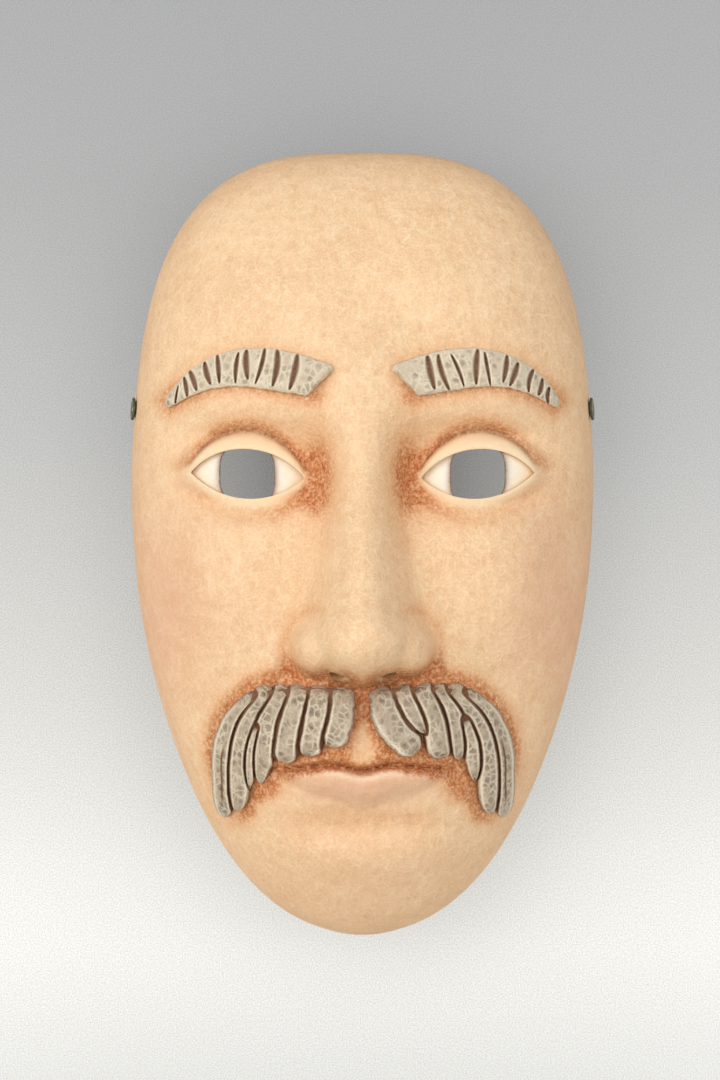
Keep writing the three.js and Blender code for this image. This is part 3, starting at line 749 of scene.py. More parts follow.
class Writer:
    """Writes one material's node tree."""

    def __init__(self, name: str) -> None:
        """Starts an empty material."""
        self.material = bpy.data.materials.new(name)
        self.material.use_nodes = True
        self.tree = self.material.node_tree
        self.tree.nodes.clear()
        self.place = self.node("ShaderNodeTexCoord").outputs["Object"]

    def node(self, kind: str, settings: dict | None = None, inputs: dict | None = None) -> bpy.types.Node:
        """Adds one node.

        Args:
            kind: the node's type.
            settings: its properties, set first; "stops" is a ramp's list of (place, colour).
            inputs: values or links by socket name or number.

        Returns:
            The node.
        """
        node = self.tree.nodes.new(kind)
        for key, value in (settings or {}).items():
            if key == "stops":
                ramp = node.color_ramp
                while len(ramp.elements) < len(value):
                    ramp.elements.new(0.5)
                for element, (place, colour) in zip(ramp.elements, value):
                    element.position, element.color = place, colour
            else:
                setattr(node, key, value)
        for key, value in (inputs or {}).items():
            socket = node.inputs[key]
            if isinstance(value, Value):
                self.tree.links.new(value.socket, socket)
            elif isinstance(value, bpy.types.NodeSocket):
                self.tree.links.new(value, socket)
            else:
                socket.default_value = value
        return node

    def attribute(self, name: str) -> Value:
        """A number stored on the mesh's points."""
        return Value(self, self.node("ShaderNodeAttribute", {"attribute_name": name}).outputs["Fac"])

    def stretched(self, across: float, through: float, up: float) -> bpy.types.NodeSocket:
        """Object coordinates scaled by a factor on each axis."""
        inputs = {"Vector": self.place, "Scale": (across, through, up)}
        return self.node("ShaderNodeMapping", {}, inputs).outputs[0]

    def noise(
        self, size: float, detail: float = 3.0, rough: float = 0.55, where: bpy.types.NodeSocket | None = None
    ) -> Value:
        """Cloudy noise whose patches are about size millimetres across."""
        inputs = {"Vector": where or self.place, "Scale": 1 / (size * MM), "Detail": detail}
        inputs["Roughness"] = rough
        return Value(self, self.node("ShaderNodeTexNoise", {}, inputs).outputs[0])

    def ripple(self, size: float, amount: float) -> bpy.types.NodeSocket:
        """Object coordinates pushed about by noise of the given size, by an amount in millimetres."""
        inputs = {"Vector": self.place, "Scale": 1 / (size * MM), "Detail": 2.0}
        noise = self.node("ShaderNodeTexNoise", {}, inputs)
        push = self.node(
            "ShaderNodeVectorMath",
            {"operation": "MULTIPLY_ADD"},
            {0: noise.outputs["Color"], 1: (amount * MM,) * 3, 2: self.place},
        )
        return push.outputs[0]

    def cells(self, size: float, feature: str, where: bpy.types.NodeSocket) -> bpy.types.Node:
        """A cell pattern whose cells are about size millimetres across."""
        inputs = {"Vector": where, "Scale": 1 / (size * MM)}
        return self.node("ShaderNodeTexVoronoi", {"feature": feature}, inputs)

    def mix(
        self, factor: Value | float, low: bpy.types.NodeSocket | Colour, high: bpy.types.NodeSocket | Colour
    ) -> bpy.types.NodeSocket:
        """A colour from low, where the factor is 0, to high, where it is 1."""
        settings = {"data_type": "RGBA", "clamp_factor": True}
        return self.node("ShaderNodeMix", settings, {0: factor, 6: low, 7: high}).outputs[2]

    def bump(
        self, height: Value, distance: float, strength: float = 1.0, below: bpy.types.NodeSocket | None = None
    ) -> bpy.types.NodeSocket:
        """A bump of the given distance in millimetres, on top of another normal if there is one."""
        inputs: dict = {"Height": height, "Distance": distance * MM, "Strength": strength}
        if below is not None:
            inputs["Normal"] = below
        return self.node("ShaderNodeBump", {}, inputs).outputs[0]

    def finish(
        self,
        colour: bpy.types.NodeSocket,
        roughness: Value | float,
        normal: bpy.types.NodeSocket | None = None,
        **fixed: float,
    ) -> bpy.types.Material:
        """Closes the tree with a Principled shader.

        Args:
            colour: the base colour.
            roughness: a number or a varying value.
            normal: the bumped normal.
            fixed: other sockets of the shader by name, with underscores for spaces, as plain numbers.

        Returns:
            The finished material.
        """
        inputs: dict = {"Base Color": colour, "Roughness": roughness}
        if normal is not None:
            inputs["Normal"] = normal
        inputs.update({key.replace("_", " "): value for key, value in fixed.items()})
        shader = self.node("ShaderNodeBsdfPrincipled", {}, inputs)
        self.node("ShaderNodeOutputMaterial", {}, {"Surface": shader.outputs[0]})
        return self.material


# ---------------------------------------------------------------------- finishes


@dataclass(frozen=True)
class SkinPaint:
    """Matt skin paint over chiselled wood: paler on ridges, stained orange-brown where a wash settled."""

    peach: Colour = paint(245, 206, 163)
    warm: Colour = paint(222, 174, 125)
    pale: Colour = paint(249, 224, 187)
    blush: Colour = paint(226, 158, 132)
    lid: Colour = paint(248, 222, 182)
    lip: Colour = paint(228, 176, 146)
    wash: Colour = paint(217, 141, 81)
    deep: Colour = paint(168, 86, 38)
    # painted shade: the dark brown laid in the creases of the lids and lips and at the nostrils' mouths
    dark: Colour = paint(92, 52, 30)
    # painted highlight: the pale line along the lower lip's upper edge
    border: Colour = paint(252, 230, 205)
    facet: float = 2.9
    roughness: float = 0.62

    def material(self) -> bpy.types.Material:
        """Writes the paint's nodes."""
        w = Writer("skin paint")
        where = w.ripple(3.5, 2.6)
        edge = Value(w, w.cells(self.facet, "DISTANCE_TO_EDGE", where).outputs["Distance"])
        cell = w.cells(self.facet, "F1", where)
        net = 1 - edge.between(0.0, 0.16)
        middle = Value(w, cell.outputs["Distance"])
        tone = Value(w, w.node("ShaderNodeSeparateColor", {}, {0: cell.outputs["Color"]}).outputs[0])
        cloud = w.noise(19, 5, 0.62)
        patch = w.noise(5, 4, 0.6).between(0.38, 0.62)
        grain = w.noise(0.85, 2, 0.7).between(0.33, 0.67)
        granule = w.noise(0.6, 2, 0.7).between(0.35, 0.65)
        speck = w.noise(1.8, 4, 0.7)
        streak = w.noise(1.4, 3, 0.6, w.stretched(1.0, 1.0, 0.14))

        colour = w.mix(cloud.between(0.34, 0.66) * 0.42, self.peach, self.warm)
        colour = w.mix(patch * (0.35 + tone * 0.65) * 0.42, colour, self.warm)
        dimple = (1 - middle.between(0.05, 0.5)) * tone.between(0.35, 0.85)
        colour = w.mix(dimple * (0.15 + cloud * 0.5), colour, self.warm)
        colour = w.mix(streak.between(0.5, 0.72) * 0.3, colour, self.warm)
        colour = w.mix(net * (1 - patch * 0.5) * speck.between(0.38, 0.6) * 0.6, colour, self.pale)
        colour = w.mix(granule * 0.34, colour, self.pale)
        colour = w.mix((1 - granule) * 0.2, colour, self.warm)
        colour = w.mix(w.attribute("blush") * (0.5 + cloud * 0.6), colour, self.blush)
        colour = w.mix(w.attribute("lid") * 0.8, colour, self.lid)
        colour = w.mix(w.attribute("lip") * (0.4 + speck * 0.6), colour, self.lip)
        # Painted highlight: a pale line along the lower lip's upper edge.
        colour = w.mix((w.attribute("border") * (0.5 + grain * 0.6)).clamped(), colour, self.border)

        stain = w.attribute("stain")
        settled = (stain * (0.42 + grain * 0.7 + (speck - 0.5) * 1.2)).clamped()
        colour = w.mix(settled * 0.95, colour, self.wash)
        heavy = ((stain - 0.42) * (0.35 + (speck - 0.5) * 2.6 + grain * 0.85)).clamped()
        colour = w.mix(heavy, colour, self.deep)
        # Painted shade: dark brown in the creases of the lids and lips and round the nostrils' mouths.
        colour = w.mix((w.attribute("crease") * (0.6 + grain * 0.4)).clamped(), colour, self.dark)

        normal = w.bump(net * -0.2 + middle * 1.0 + tone * 0.2, 0.24, 0.75)
        normal = w.bump(speck * 0.7 + grain * 0.15, 0.07, 0.5, normal)
        rough = self.roughness + settled * 0.08 + (speck - 0.5) * 0.12
        return w.finish(colour, rough, normal, Specular_IOR_Level=0.32)


@dataclass(frozen=True)
class HairPaint:
    """Grey-beige paint on carved hair: mottled facets, painted highlight in pale lines on the ridges and lock
    edges, and painted shade in dark brown down the grooves, on the locks' sides and on the web under them.
    """

    grey: Colour = paint(174, 155, 132)
    shade: Colour = paint(114, 98, 81)
    # pale: the facets' net lines and grain, and the painted highlight on ridges and lock edges
    pale: Colour = paint(232, 217, 192)
    # painted shade: dark brown for the grooves, the locks' sides and undersides, and the web under them
    groove: Colour = paint(124, 82, 54)
    facet: float = 2.1
    name: str = "hair paint"

    def material(self) -> bpy.types.Material:
        """Writes the paint's nodes."""
        w = Writer(self.name)
        where = w.ripple(2.4, 2.0)
        edge = Value(w, w.cells(self.facet, "DISTANCE_TO_EDGE", where).outputs["Distance"])
        cell = w.cells(self.facet, "F1", where)
        net = 1 - edge.between(0.0, 0.17)
        middle = Value(w, cell.outputs["Distance"])
        tone = Value(w, w.node("ShaderNodeSeparateColor", {}, {0: cell.outputs["Color"]}).outputs[0])
        cloud = w.noise(5, 4, 0.6)
        grain = w.noise(0.45, 2, 0.7).between(0.3, 0.7)

        spot = 1 - middle.between(0.1, 0.62)
        mottled = (spot * (0.25 + tone * 0.75) + cloud.between(0.35, 0.65) * 0.4 - 0.1).clamped()
        colour = w.mix(mottled, self.grey, self.shade)
        colour = w.mix(net * cloud.between(0.35, 0.6) * 0.62, colour, self.pale)
        colour = w.mix(grain * 0.22, colour, self.pale)
        # Painted highlight: pale lines on the ridges beside the grooves and along the shoulders of brows and
        # locks.
        colour = w.mix((w.attribute("edge") * (0.7 + grain * 0.6)).clamped(), colour, self.pale)
        # Painted shade in dark brown: in the grooves, on the locks' sides and undersides, and over the web.
        groove = w.attribute("groove")
        colour = w.mix((groove * (0.8 + (1 - grain) * 0.3)).clamped(), colour, self.groove)

        normal = w.bump(net * -0.7 + middle * 0.8, 0.16, 0.7)
        normal = w.bump(grain, 0.05, 0.45, normal)
        return w.finish(colour, 0.68 + groove * 0.12, normal, Specular_IOR_Level=0.28)


@dataclass(frozen=True)
class EyePaint:
    """Smooth off-white paint, creamier in the corners and browned round the sight hole's edge, partly as a
    painted line and partly as painted shade, which also covers the hole's wall.
    """

    white: Colour = paint(252, 243, 226)
    cream: Colour = paint(238, 216, 180)
    brown: Colour = paint(116, 66, 34)

    def material(self) -> bpy.types.Material:
        """Writes the paint's nodes."""
        w = Writer("eye paint")
        cloud = w.noise(4, 4, 0.6)
        grain = w.noise(0.6, 3, 0.7)
        colour = w.mix(cloud.between(0.4, 0.75) * 0.35, self.white, self.cream)
        colour = w.mix(w.attribute("corner") * (0.35 + cloud * 0.5), colour, self.cream)
        # Brown round the sight hole: partly a painted line, partly painted shade on the edge and down the
        # hole's wall.
        colour = w.mix((w.attribute("edge") * (0.5 + grain * 0.8)).clamped(), colour, self.brown)
        normal = w.bump(cloud + grain * 0.3, 0.05, 0.5)
        return w.finish(colour, 0.42 + cloud * 0.12, normal, Specular_IOR_Level=0.45)


@dataclass(frozen=True)
class BareWood:
    """Bare cypress inside the mask: fine upright grain, oiled by the hand, darker where it was bruised."""

    light: Colour = paint(214, 172, 120)
    dark: Colour = paint(158, 108, 64)
    ring: Colour = paint(132, 84, 47)

    def material(self) -> bpy.types.Material:
        """Writes the wood's nodes."""
        w = Writer("bare cypress")
        fibre = w.noise(1.0, 4, 0.6, w.stretched(1.0, 1.0, 0.045))
        band = w.noise(7, 3, 0.55, w.stretched(1.0, 0.6, 0.07))
        lines = (((band * 46.0).math("SINE")) * 0.5 + 0.5) ** 2.2
        pore = w.noise(0.5, 2, 0.6, w.stretched(1.0, 1.0, 0.1))
        hand = w.noise(38, 4, 0.6)
        colour = w.mix(fibre.between(0.3, 0.7) * 0.55, self.light, self.dark)
        colour = w.mix(lines * 0.5, colour, self.ring)
        colour = w.mix(hand.between(0.42, 0.75) * 0.45, colour, self.dark)
        # Painted shade: the dark marks of the face's creases, where they reach the bare wood.
        colour = w.mix(w.attribute("crease") * 0.6, colour, self.ring)
        normal = w.bump(fibre * 0.6 + pore * 0.4, 0.09, 0.5)
        return w.finish(colour, 0.5 + fibre * 0.16, normal, Specular_IOR_Level=0.4)


@dataclass(frozen=True)
class AgedBrass:
    """Dull grey-green brass, rubbed bright on the lip that the cord runs over."""

    bright: Colour = paint(158, 148, 118)
    dull: Colour = paint(96, 97, 84)
    green: Colour = paint(84, 101, 88)

    def material(self) -> bpy.types.Material:
        """Writes the metal's nodes."""
        w = Writer("aged brass")
        cloud = w.noise(1.4, 4, 0.65)
        grain = w.noise(0.35, 3, 0.7)
        wear = (w.attribute("wear") * 1.2 - cloud * 0.5).clamped()
        colour = w.mix(cloud.between(0.4, 0.65), self.dull, self.green)
        colour = w.mix(wear, colour, self.bright)
        normal = w.bump(cloud * 0.6 + grain * 0.4, 0.04, 0.6)
        return w.finish(colour, 0.55 - wear * 0.22 + grain * 0.1, normal, Metallic=0.9)


@dataclass(frozen=True)
class PadCloth:
    """Plain-woven cotton: threads over and under each other, a little slubbed and soiled."""

    cloth: Colour = paint(196, 170, 128)
    shade: Colour = paint(132, 104, 70)
    thread: float = 0.55

    def material(self) -> bpy.types.Material:
        """Writes the cloth's nodes."""
        w = Writer("pad cloth")
        parts = w.node("ShaderNodeSeparateXYZ", {}, {0: w.ripple(8, 0.5)})
        turns = 2 * math.pi / (self.thread * 2 * MM)
        across = (Value(w, parts.outputs[0]) * turns).math("SINE")
        up = (Value(w, parts.outputs[2]) * turns).math("SINE")
        weave = (across * up) * 0.5 + 0.5
        slub = w.noise(3, 4, 0.6, w.stretched(1.0, 1.0, 0.2))
        soil = w.noise(9, 4, 0.6)
        colour = w.mix((weave * 0.45 + slub * 0.3).clamped(), self.cloth, self.shade)
        colour = w.mix(soil.between(0.45, 0.75) * 0.35, colour, self.shade)
        colour = w.mix(w.attribute("edge") * 0.5, colour, self.shade)
        normal = w.bump(weave + slub * 0.4, 0.14, 0.8)
        return w.finish(colour, 0.86, normal, Sheen_Weight=0.25, Specular_IOR_Level=0.2)


@dataclass(frozen=True)
class CutBamboo:
    """Cut bamboo: a pale end peppered with darker fibre bundles, and straight streaks along the sides."""

    pale: Colour = paint(214, 184, 128)
    fibre: Colour = paint(132, 92, 52)

    def material(self) -> bpy.types.Material:
        """Writes the bamboo's nodes."""
        w = Writer("cut bamboo")
        spots = Value(w, w.cells(0.42, "F1", w.stretched(1.0, 0.02, 1.0)).outputs["Distance"])
        cloud = w.noise(1.5, 3, 0.6)
        colour = w.mix((1 - spots.between(0.18, 0.42)) * 0.8, self.pale, self.fibre)
        colour = w.mix(cloud * 0.35, colour, self.fibre)
        return w.finish(colour, 0.6, w.bump(spots, 0.05, 0.5), Specular_IOR_Level=0.35)


@dataclass(frozen=True)
class Finishes:
    """Every finish on the mask, written once."""

    skin: bpy.types.Material
    hair: bpy.types.Material
    brow: bpy.types.Material
    eye: bpy.types.Material
    wood: bpy.types.Material
    brass: bpy.types.Material
    cloth: bpy.types.Material
    bamboo: bpy.types.Material

    @classmethod
    def write(cls) -> "Finishes":
        """Writes all the materials."""
        return cls(
            SkinPaint().material(),
            HairPaint().material(),
            HairPaint(
                grey=paint(208, 190, 163),
                shade=paint(152, 135, 112),
                pale=paint(240, 226, 200),
                # painted shade colour for the brow's grooves
                groove=paint(122, 82, 54),
                facet=2.2,
                name="brow paint",
            ).material(),
            EyePaint().material(),
            BareWood().material(),
            AgedBrass().material(),
            PadCloth().material(),
            CutBamboo().material(),
        )


def hand_over(obj: bpy.types.Object, node: str, finish: bpy.types.Material) -> None:
    """Gives a piece its finish, sets it to stand for a CAD node and lets it ride on the mask."""
    if not obj.data.materials:
        obj.data.materials.append(finish)
    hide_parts(node)
    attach(obj, "root")
    LOG.info("%s: %d faces", obj.name, len(obj.data.polygons))


# ---------------------------------------------------------------------- applied hair


HAIR_FOOT = 0.3


def section(over: int, under: int, power: float) -> tuple[Array, Array, Array]:
    """The outline of a flattened arch, in order round it.

    Args:
        over: points over the top.
        under: points along the foot.
        power: the arch's exponent; a higher one is flatter, with steeper sides.

    Returns:
        The place across, from 1 to -1 and back; the rise, from 0 at the sides to 1; and which points are
        on top.
    """
    t = np.linspace(1, -1, over)
    top_across = 0.45 * t + 0.55 * np.sin(t * np.pi / 2)
    across = np.concatenate([top_across, np.linspace(-1, 1, under + 2)[1:-1]])
    rise = (1 - np.clip(np.abs(across), 0, 1) ** power) ** (1 / power)
    return across, rise, np.arange(over + under) < over


@dataclass(frozen=True)
class Brow:
    """One brow: a curved block, blunt at its inner end and thin at its outer one, with grooves across it."""

    side: Side
    thickness: float = 4.2
    half_width: float = 6.0
    inner: float = 11.0
    side_gap: float = 11.5
    grooves: int = 10
    groove_depth: float = 1.5
    slant: float = 0.045

    def line(self, t: Array) -> tuple[Array, Array]:
        """The brow's middle line, from its inner end at t = 0 to its outer end at t = 1."""
        outer = FORM.width / 2 - self.side_gap
        x = self.inner + (outer - self.inner) * t + 4 * (t - t**3)
        z = FORM.brow_z + 5.5 + 8.5 * np.sin(t * np.pi * 0.72) - 11 * np.abs(t) ** 2.2 + 1.5 * (1 - t) ** 4
        return x, z

    def width_at(self, t: Array) -> Array:
        """Half the brow's width: it swells from the blunt end and thins over the outer half."""
        swell = 0.84 + 0.16 * np.sin(np.minimum(1, t * 2.6) * np.pi * 0.5)
        return self.half_width * swell * (1 - 0.8 * t**2.6)

    def place(self, t: Array, offset: Array) -> tuple[Array, Array]:
        """The place at t along the brow that lies offset to the side of its middle line."""
        x, z = self.line(t)
        x2, z2 = self.line(t + 1e-3)
        return abreast(x, z, x2 - x, z2 - z, offset)

    def groove_at(self, t: Array, across: Array) -> Array:
        """How deep in a groove a place is, from 0 to 1: each groove leans, bends and runs out at an edge."""
        seed = 1.7 if self.side is Side.LEFT else 6.3
        deepest = np.zeros(np.broadcast(t, across).shape)
        for k in range(self.grooves):
            a = float(scatter(np.array(k + 1.0), np.array(3.0), seed))
            b = float(scatter(np.array(k + 4.0), np.array(9.0), seed))
            c = float(scatter(np.array(k + 2.0), np.array(5.0), seed))
            middle = 0.09 + 0.88 * ((k + 0.5 + 0.55 * (a - 0.5)) / self.grooves) ** 0.92
            lean = (0.012 - 0.05 * k / self.grooves + 0.045 * (b - 0.5)) * across
            bend = 0.03 * (c - 0.42) * across**2
            lens = np.clip(1 - ((across - 0.3 * (a - 0.5)) / (0.78 + 0.2 * c)) ** 2, 0, 1) ** 0.7
            width = (0.0095 + 0.009 * b) * (0.25 + 0.75 * lens)
            run_out = step(0.0, 0.3, lens)
            trough = np.exp(-(np.abs((t - middle - lean - bend) / width) ** 3))
            deepest = np.maximum(deepest, trough * run_out)
        return deepest

    def build(self, finishes: Finishes) -> None:
        """Sweeps the block's section, a flattened arch, along the middle line and presses in the grooves."""
        rings = 420
        t = 0.5 - 0.5 * np.cos(np.linspace(0, np.pi, rings))
        t = 0.35 * t + 0.65 * np.linspace(0, 1, rings)
        across, rise, top = section(60, 10, 3.2)
        t2, across = np.meshgrid(t, across, indexing="ij")
        rise, top = np.broadcast_to(rise, t2.shape), np.broadcast_to(top, t2.shape)
        ends = quarter_round(t2 / 0.03) * quarter_round((1 - t2) / 0.06)
        half = self.width_at(t2) * (0.62 + 0.38 * ends)
        edge_waver = 1 + 0.028 * wander(t2 * 40, 2.0 + self.side.value)
        px, pz = self.place(t2 - self.slant * across * (1 - t2) ** 3, across * half * edge_waver)
        swell = (1 - 0.42 * t2 * t2) * (0.25 + 0.75 * ends)
        # This depth sinks the brow's grooves and also marks the painted shade laid in them.
        groove = self.groove_at(t2, across) * top
        height = self.thickness * swell * (0.84 + 0.16 * rise) * rise
        near = chisel_cells(px, pz, 2.4, 3.0 + self.side.value)[0]
        height = height + (0.3 * np.minimum(near, 0.9) ** 2 - 0.1) * rise * top
        sunk = np.minimum(groove * self.groove_depth, np.maximum(height - 0.5, 0))
        height = height - sunk * step(0.35, 0.8, rise)
        depth = FORM.smooth_depth(px, pz) + np.where(top, height, -HAIR_FOOT)
        grid = np.stack([px * self.side.value, -depth, pz], -1)
        # Painted highlight: a pale lip beside each of the grooves and a pale line along the block's shoulder.
        lip = self.groove_at(t2 + 0.012, across) + self.groove_at(t2 - 0.012, across)
        pale = np.clip(lip - groove, 0, 1) * top + ridge(rise - 0.62, 0.16) * top * 0.6
        values = {"groove": groove * step(0.25, 0.75, rise), "edge": np.clip(pale, 0, 1) * (1 - groove)}
        grid[0], grid[-1] = grid[0].mean(0), grid[-1].mean(0)
        obj = Surface.tube(grid, values).build(f"carved_brow_{self.side.label}")
        sharpen(obj, 55)
        hand_over(obj, f"brow_{self.side.label}", finishes.brow)

    def footprint(self) -> Array:
        """Places just inside the brow's outline, for the stain that settles round it."""
        t, across = np.meshgrid(np.linspace(0.02, 0.98, 60), [-0.8, 0.0, 0.8], indexing="ij")
        return np.stack(self.place(t, across * self.width_at(t)), -1).reshape(-1, 2)


def under_moustache(x: Array, z: Array) -> Array:
    """The face under the moustache; above the lip it is read at the lip's top, clear of the nose."""
    return FORM.smooth_depth(x, np.minimum(z, FORM.nose_z - 2.5))


@dataclass(frozen=True)
class Lock:
    """One lock of the moustache: points along its middle, with heights counted from the nose's base."""

    points: tuple[tuple[float, float], ...]
    half_width: float
    height: float
    lift: float = 0.0
    tip: float = 0.2
    point: float = 0.5
    cleft: float = 0.0

    def middle(self, s: Array) -> tuple[Array, Array]:
        """The middle line at s from 0 at the root to 1 at the free end."""
        places = np.linspace(0, 1, len(self.points))
        x = curve_at(list(zip(places, [p[0] for p in self.points])), s)
        z = curve_at(list(zip(places, [p[1] for p in self.points])), s)
        return x, z + FORM.nose_z

    def half_at(self, s: Array) -> Array:
        """Half the lock's width: rounded at the root, widest past the middle, drawn in to the free end."""
        free = np.clip((s - 1 + self.tip) / self.tip, 0, 1)
        drawn_in = np.clip(1 - free**2, 0, 1) ** self.point
        return self.half_width * quarter_round(s / 0.1) * drawn_in * (0.81 + 0.26 * step(0.0, 0.55, s))

    def reach(self, x: Array, z: Array) -> Array:
        """How far out of the lock a place lies: 0 on its middle line and 1 on its outline."""
        s = np.linspace(0.01, 0.995, 110)
        mx, mz = self.middle(s)
        half = np.maximum(self.half_at(s), 0.2)
        return (np.hypot(x[..., None] - mx, z[..., None] - mz) / half).min(-1)

    def surface(self, side: Side, seed: float, others: Sequence["Lock"]) -> Surface:
        """A flattened arch swept along the middle line, sunk in a furrow where a neighbour meets it, with
        painted shade and painted highlight on it.

        Args:
            side: the half of the mask.
            seed: a number that varies the lock's tool marks.
            others: the locks beside it.

        Returns:
            The closed surface, with edge and groove values.
        """
        s = 0.5 - 0.5 * np.cos(np.linspace(0, np.pi, 96))
        across, rise, top = section(44, 8, 3.0)
        s2, across = np.meshgrid(s, across, indexing="ij")
        rise, top = np.broadcast_to(rise, s2.shape), np.broadcast_to(top, s2.shape)
        half = self.half_at(s2) * (1 + 0.09 * wander(s2 * 9, seed + (across > 0)))
        free = np.clip((s2 - 1 + self.tip) / self.tip, 0, 1)
        x, z = self.middle(s2)
        x2, z2 = self.middle(np.minimum(s2 + 1e-3, 1.0))
        x1, z1 = self.middle(np.minimum(s2 + 1e-3, 1.0) - 1e-3)
        px, pz = abreast(x, z, x2 - x1, z2 - z1, across * half)

        beside = np.min([other.reach(px, pz) for other in others], axis=0)
        lean = np.abs(across) - beside
        met = step(-0.34, -0.06, lean)
        split = ridge(across - 0.12 * wander(s2 * 6, seed), 0.09) * step(0.5, 0.6, s2)
        split = split * (1 - step(0.86, 0.95, s2)) * self.cleft
        root = np.sqrt(np.clip(s2 / 0.1, 0, 1))
        height = self.height * root * np.clip(1 - free**2.6, 0, 1) ** 0.5
        near = chisel_cells(px + seed, pz, 2.3, seed)[0]
        up = height * (0.6 + 0.4 * step(-0.05, 0.3, s2)) * (0.82 + 0.18 * rise) * rise
        up = up + self.lift * root * (free < 1)
        up = up + (0.6 * np.minimum(near, 0.9) ** 2 - 0.2) * rise
        up = np.maximum(up - 1.9 * met - 0.7 * split, np.minimum(up, 0.4))
        depth = under_moustache(px, pz) + np.where(top, up, -HAIR_FOOT)
        grid = np.stack([px * side.value, -depth, pz], -1)
        grid[0], grid[-1] = grid[0].mean(0), grid[-1].mean(0)
        # Painted highlight: pale lines along the lock's shoulder and beside the furrow where a neighbour meets
        # it.
        edge = ridge(rise - 0.84, 0.08) * (beside > 1.3) + ridge(lean + 0.52, 0.13)
        edge = edge * top * step(0.05, 0.4, s2)
        # Painted shade: dark brown on the lock's sides and underside, in the furrow where a neighbour meets
        # it, and in the cleft.
        outer = np.where(top, 1 - step(0.3, 0.7, rise), 1.0) * 0.75 * (1 - 0.5 * step(0.8, 1.0, s2))
        groove = np.maximum(np.maximum(outer, step(-0.36, -0.16, lean) * top), split)
        values = {"edge": np.clip(edge, 0, 1) * (1 - groove), "groove": np.clip(groove, 0, 1)}
        return Surface.tube(grid, values)


@dataclass(frozen=True)
class Moustache:
    """One half of the moustache: overlapping locks, fanned out from under the nose, on a low web painted dark
    brown as shade between them.
    """

    side: Side
    web_height: float = 2.5

    def locks(self) -> list[Lock]:
        """The locks from the parting outwards; the two halves differ a little, as carved by eye."""
        if self.side is Side.LEFT:
            return [
                Lock(((5.4, -2.4), (6.0, -10.0), (9.0, -18.6)), 3.8, 4.8, 0.2),
                Lock(((11.4, -2.0), (12.8, -11.0), (15.2, -21.2)), 4.0, 5.0),
                Lock(((16.8, -1.9), (19.4, -11.6), (21.4, -23.2)), 3.8, 5.1, 0.2),
                Lock(((21.2, -2.0), (25.8, -11.6), (27.6, -20.6), (27.8, -29.5)), 3.6, 4.9, 0.0, 0.42, 0.8),
                Lock(((28.6, -13.0), (30.8, -21.0), (31.0, -31.0)), 2.0, 4.5, 0.2, 0.45, 0.8),
                Lock(((25.0, -2.6), (31.4, -10.6), (34.2, -21.6), (34.6, -37.2)), 3.3, 5.0, 0.2, 0.15),
                Lock(
                    ((28.8, -4.4), (35.8, -12.6), (38.6, -23.6), (38.2, -39.4)), 2.9, 4.6, 0.0, 0.12, cleft=1.0
                ),
            ]
        return [
            Lock(((10.2, -2.0), (13.2, -8.4), (17.4, -15.4)), 3.2, 4.6, 0.0, 0.45, 0.8),
            Lock(((4.4, -2.6), (7.2, -11.2), (14.6, -20.4)), 4.2, 4.9, 0.2),
            Lock(((15.4, -1.9), (19.4, -10.4), (21.8, -22.0)), 4.0, 5.1, 0.1),
            Lock(((20.0, -1.9), (24.6, -10.2), (26.4, -22.6)), 3.0, 4.8, 0.0, 0.25, 0.6),
            Lock(((27.8, -11.0), (30.2, -19.0), (30.8, -28.8)), 2.8, 4.7, 0.3, 0.45, 0.8),
            Lock(((23.4, -2.2), (30.8, -9.8), (34.8, -20.6), (35.4, -38.0)), 3.4, 5.1, 0.2, 0.15),
            Lock(((27.4, -3.6), (35.2, -11.2), (39.0, -22.6), (39.2, -39.6)), 2.8, 4.6, 0.0, 0.12, cleft=1.0),
        ]

    def web(self) -> Surface:
        """The low web under the locks: straight lines between the middles of locks that start at the lip."""
        rooted = [lock for lock in self.locks() if lock.points[0][1] > -8]
        ordered = sorted(rooted, key=lambda lock: lock.points[0][0])

        def place(u: Array, v: Array) -> tuple[Array, Array]:
            """Across the locks with u, and down their lengths with v."""
            t = (u + 1) / 2 * (len(ordered) - 1)
            s = (v + 1) / 2 * 0.78 + 0.04
            xs = np.stack([lock.middle(s)[0] for lock in ordered])
            zs = np.stack([lock.middle(s)[1] for lock in ordered])
            i = np.clip(np.floor(t).astype(int), 0, len(ordered) - 2)
            w = t - i
            rows, columns = np.indices(u.shape)
            x = xs[i, rows, columns] * (1 - w) + xs[i + 1, rows, columns] * w
            z = zs[i, rows, columns] * (1 - w) + zs[i + 1, rows, columns] * w
            return x * self.side.value, z

        made = slab(
            place,
            lambda x, z, u, v: under_moustache(x, z) + self.web_height,
            lambda x, z, u, v: under_moustache(x, z) - HAIR_FOOT,
            60,
            36,
        )
        # Painted shade: the whole web takes the dark brown laid between the locks.
        made.values = {"groove": np.ones(len(made.points)), "edge": np.zeros(len(made.points))}
        return made

    def build(self, finishes: Finishes) -> None:
        """Joins the web and the locks into one carved piece."""
        locks = self.locks()
        parts = [self.web()]
        for k, lock in enumerate(locks):
            parts.append(lock.surface(self.side, 1.0 + 2.3 * k, locks[:k] + locks[k + 1 :]))
        body = parts[0]
        for part in parts[1:]:
            body = body.add(part)
        obj = body.build(f"carved_moustache_{self.side.label}")
        sharpen(obj, 60)
        hand_over(obj, f"moustache_{self.side.label}", finishes.hair)

    def footprint(self) -> Array:
        """Places inside the locks' outline, for the stain that settles round them."""
        s = np.linspace(0.05, 0.97, 16)
        found = []
        for lock in self.locks():
            x, z = lock.middle(s)
            found.append(np.stack([x, z], -1))
        return np.concatenate(found)


# ---------------------------------------------------------------------- eyes and eyelets


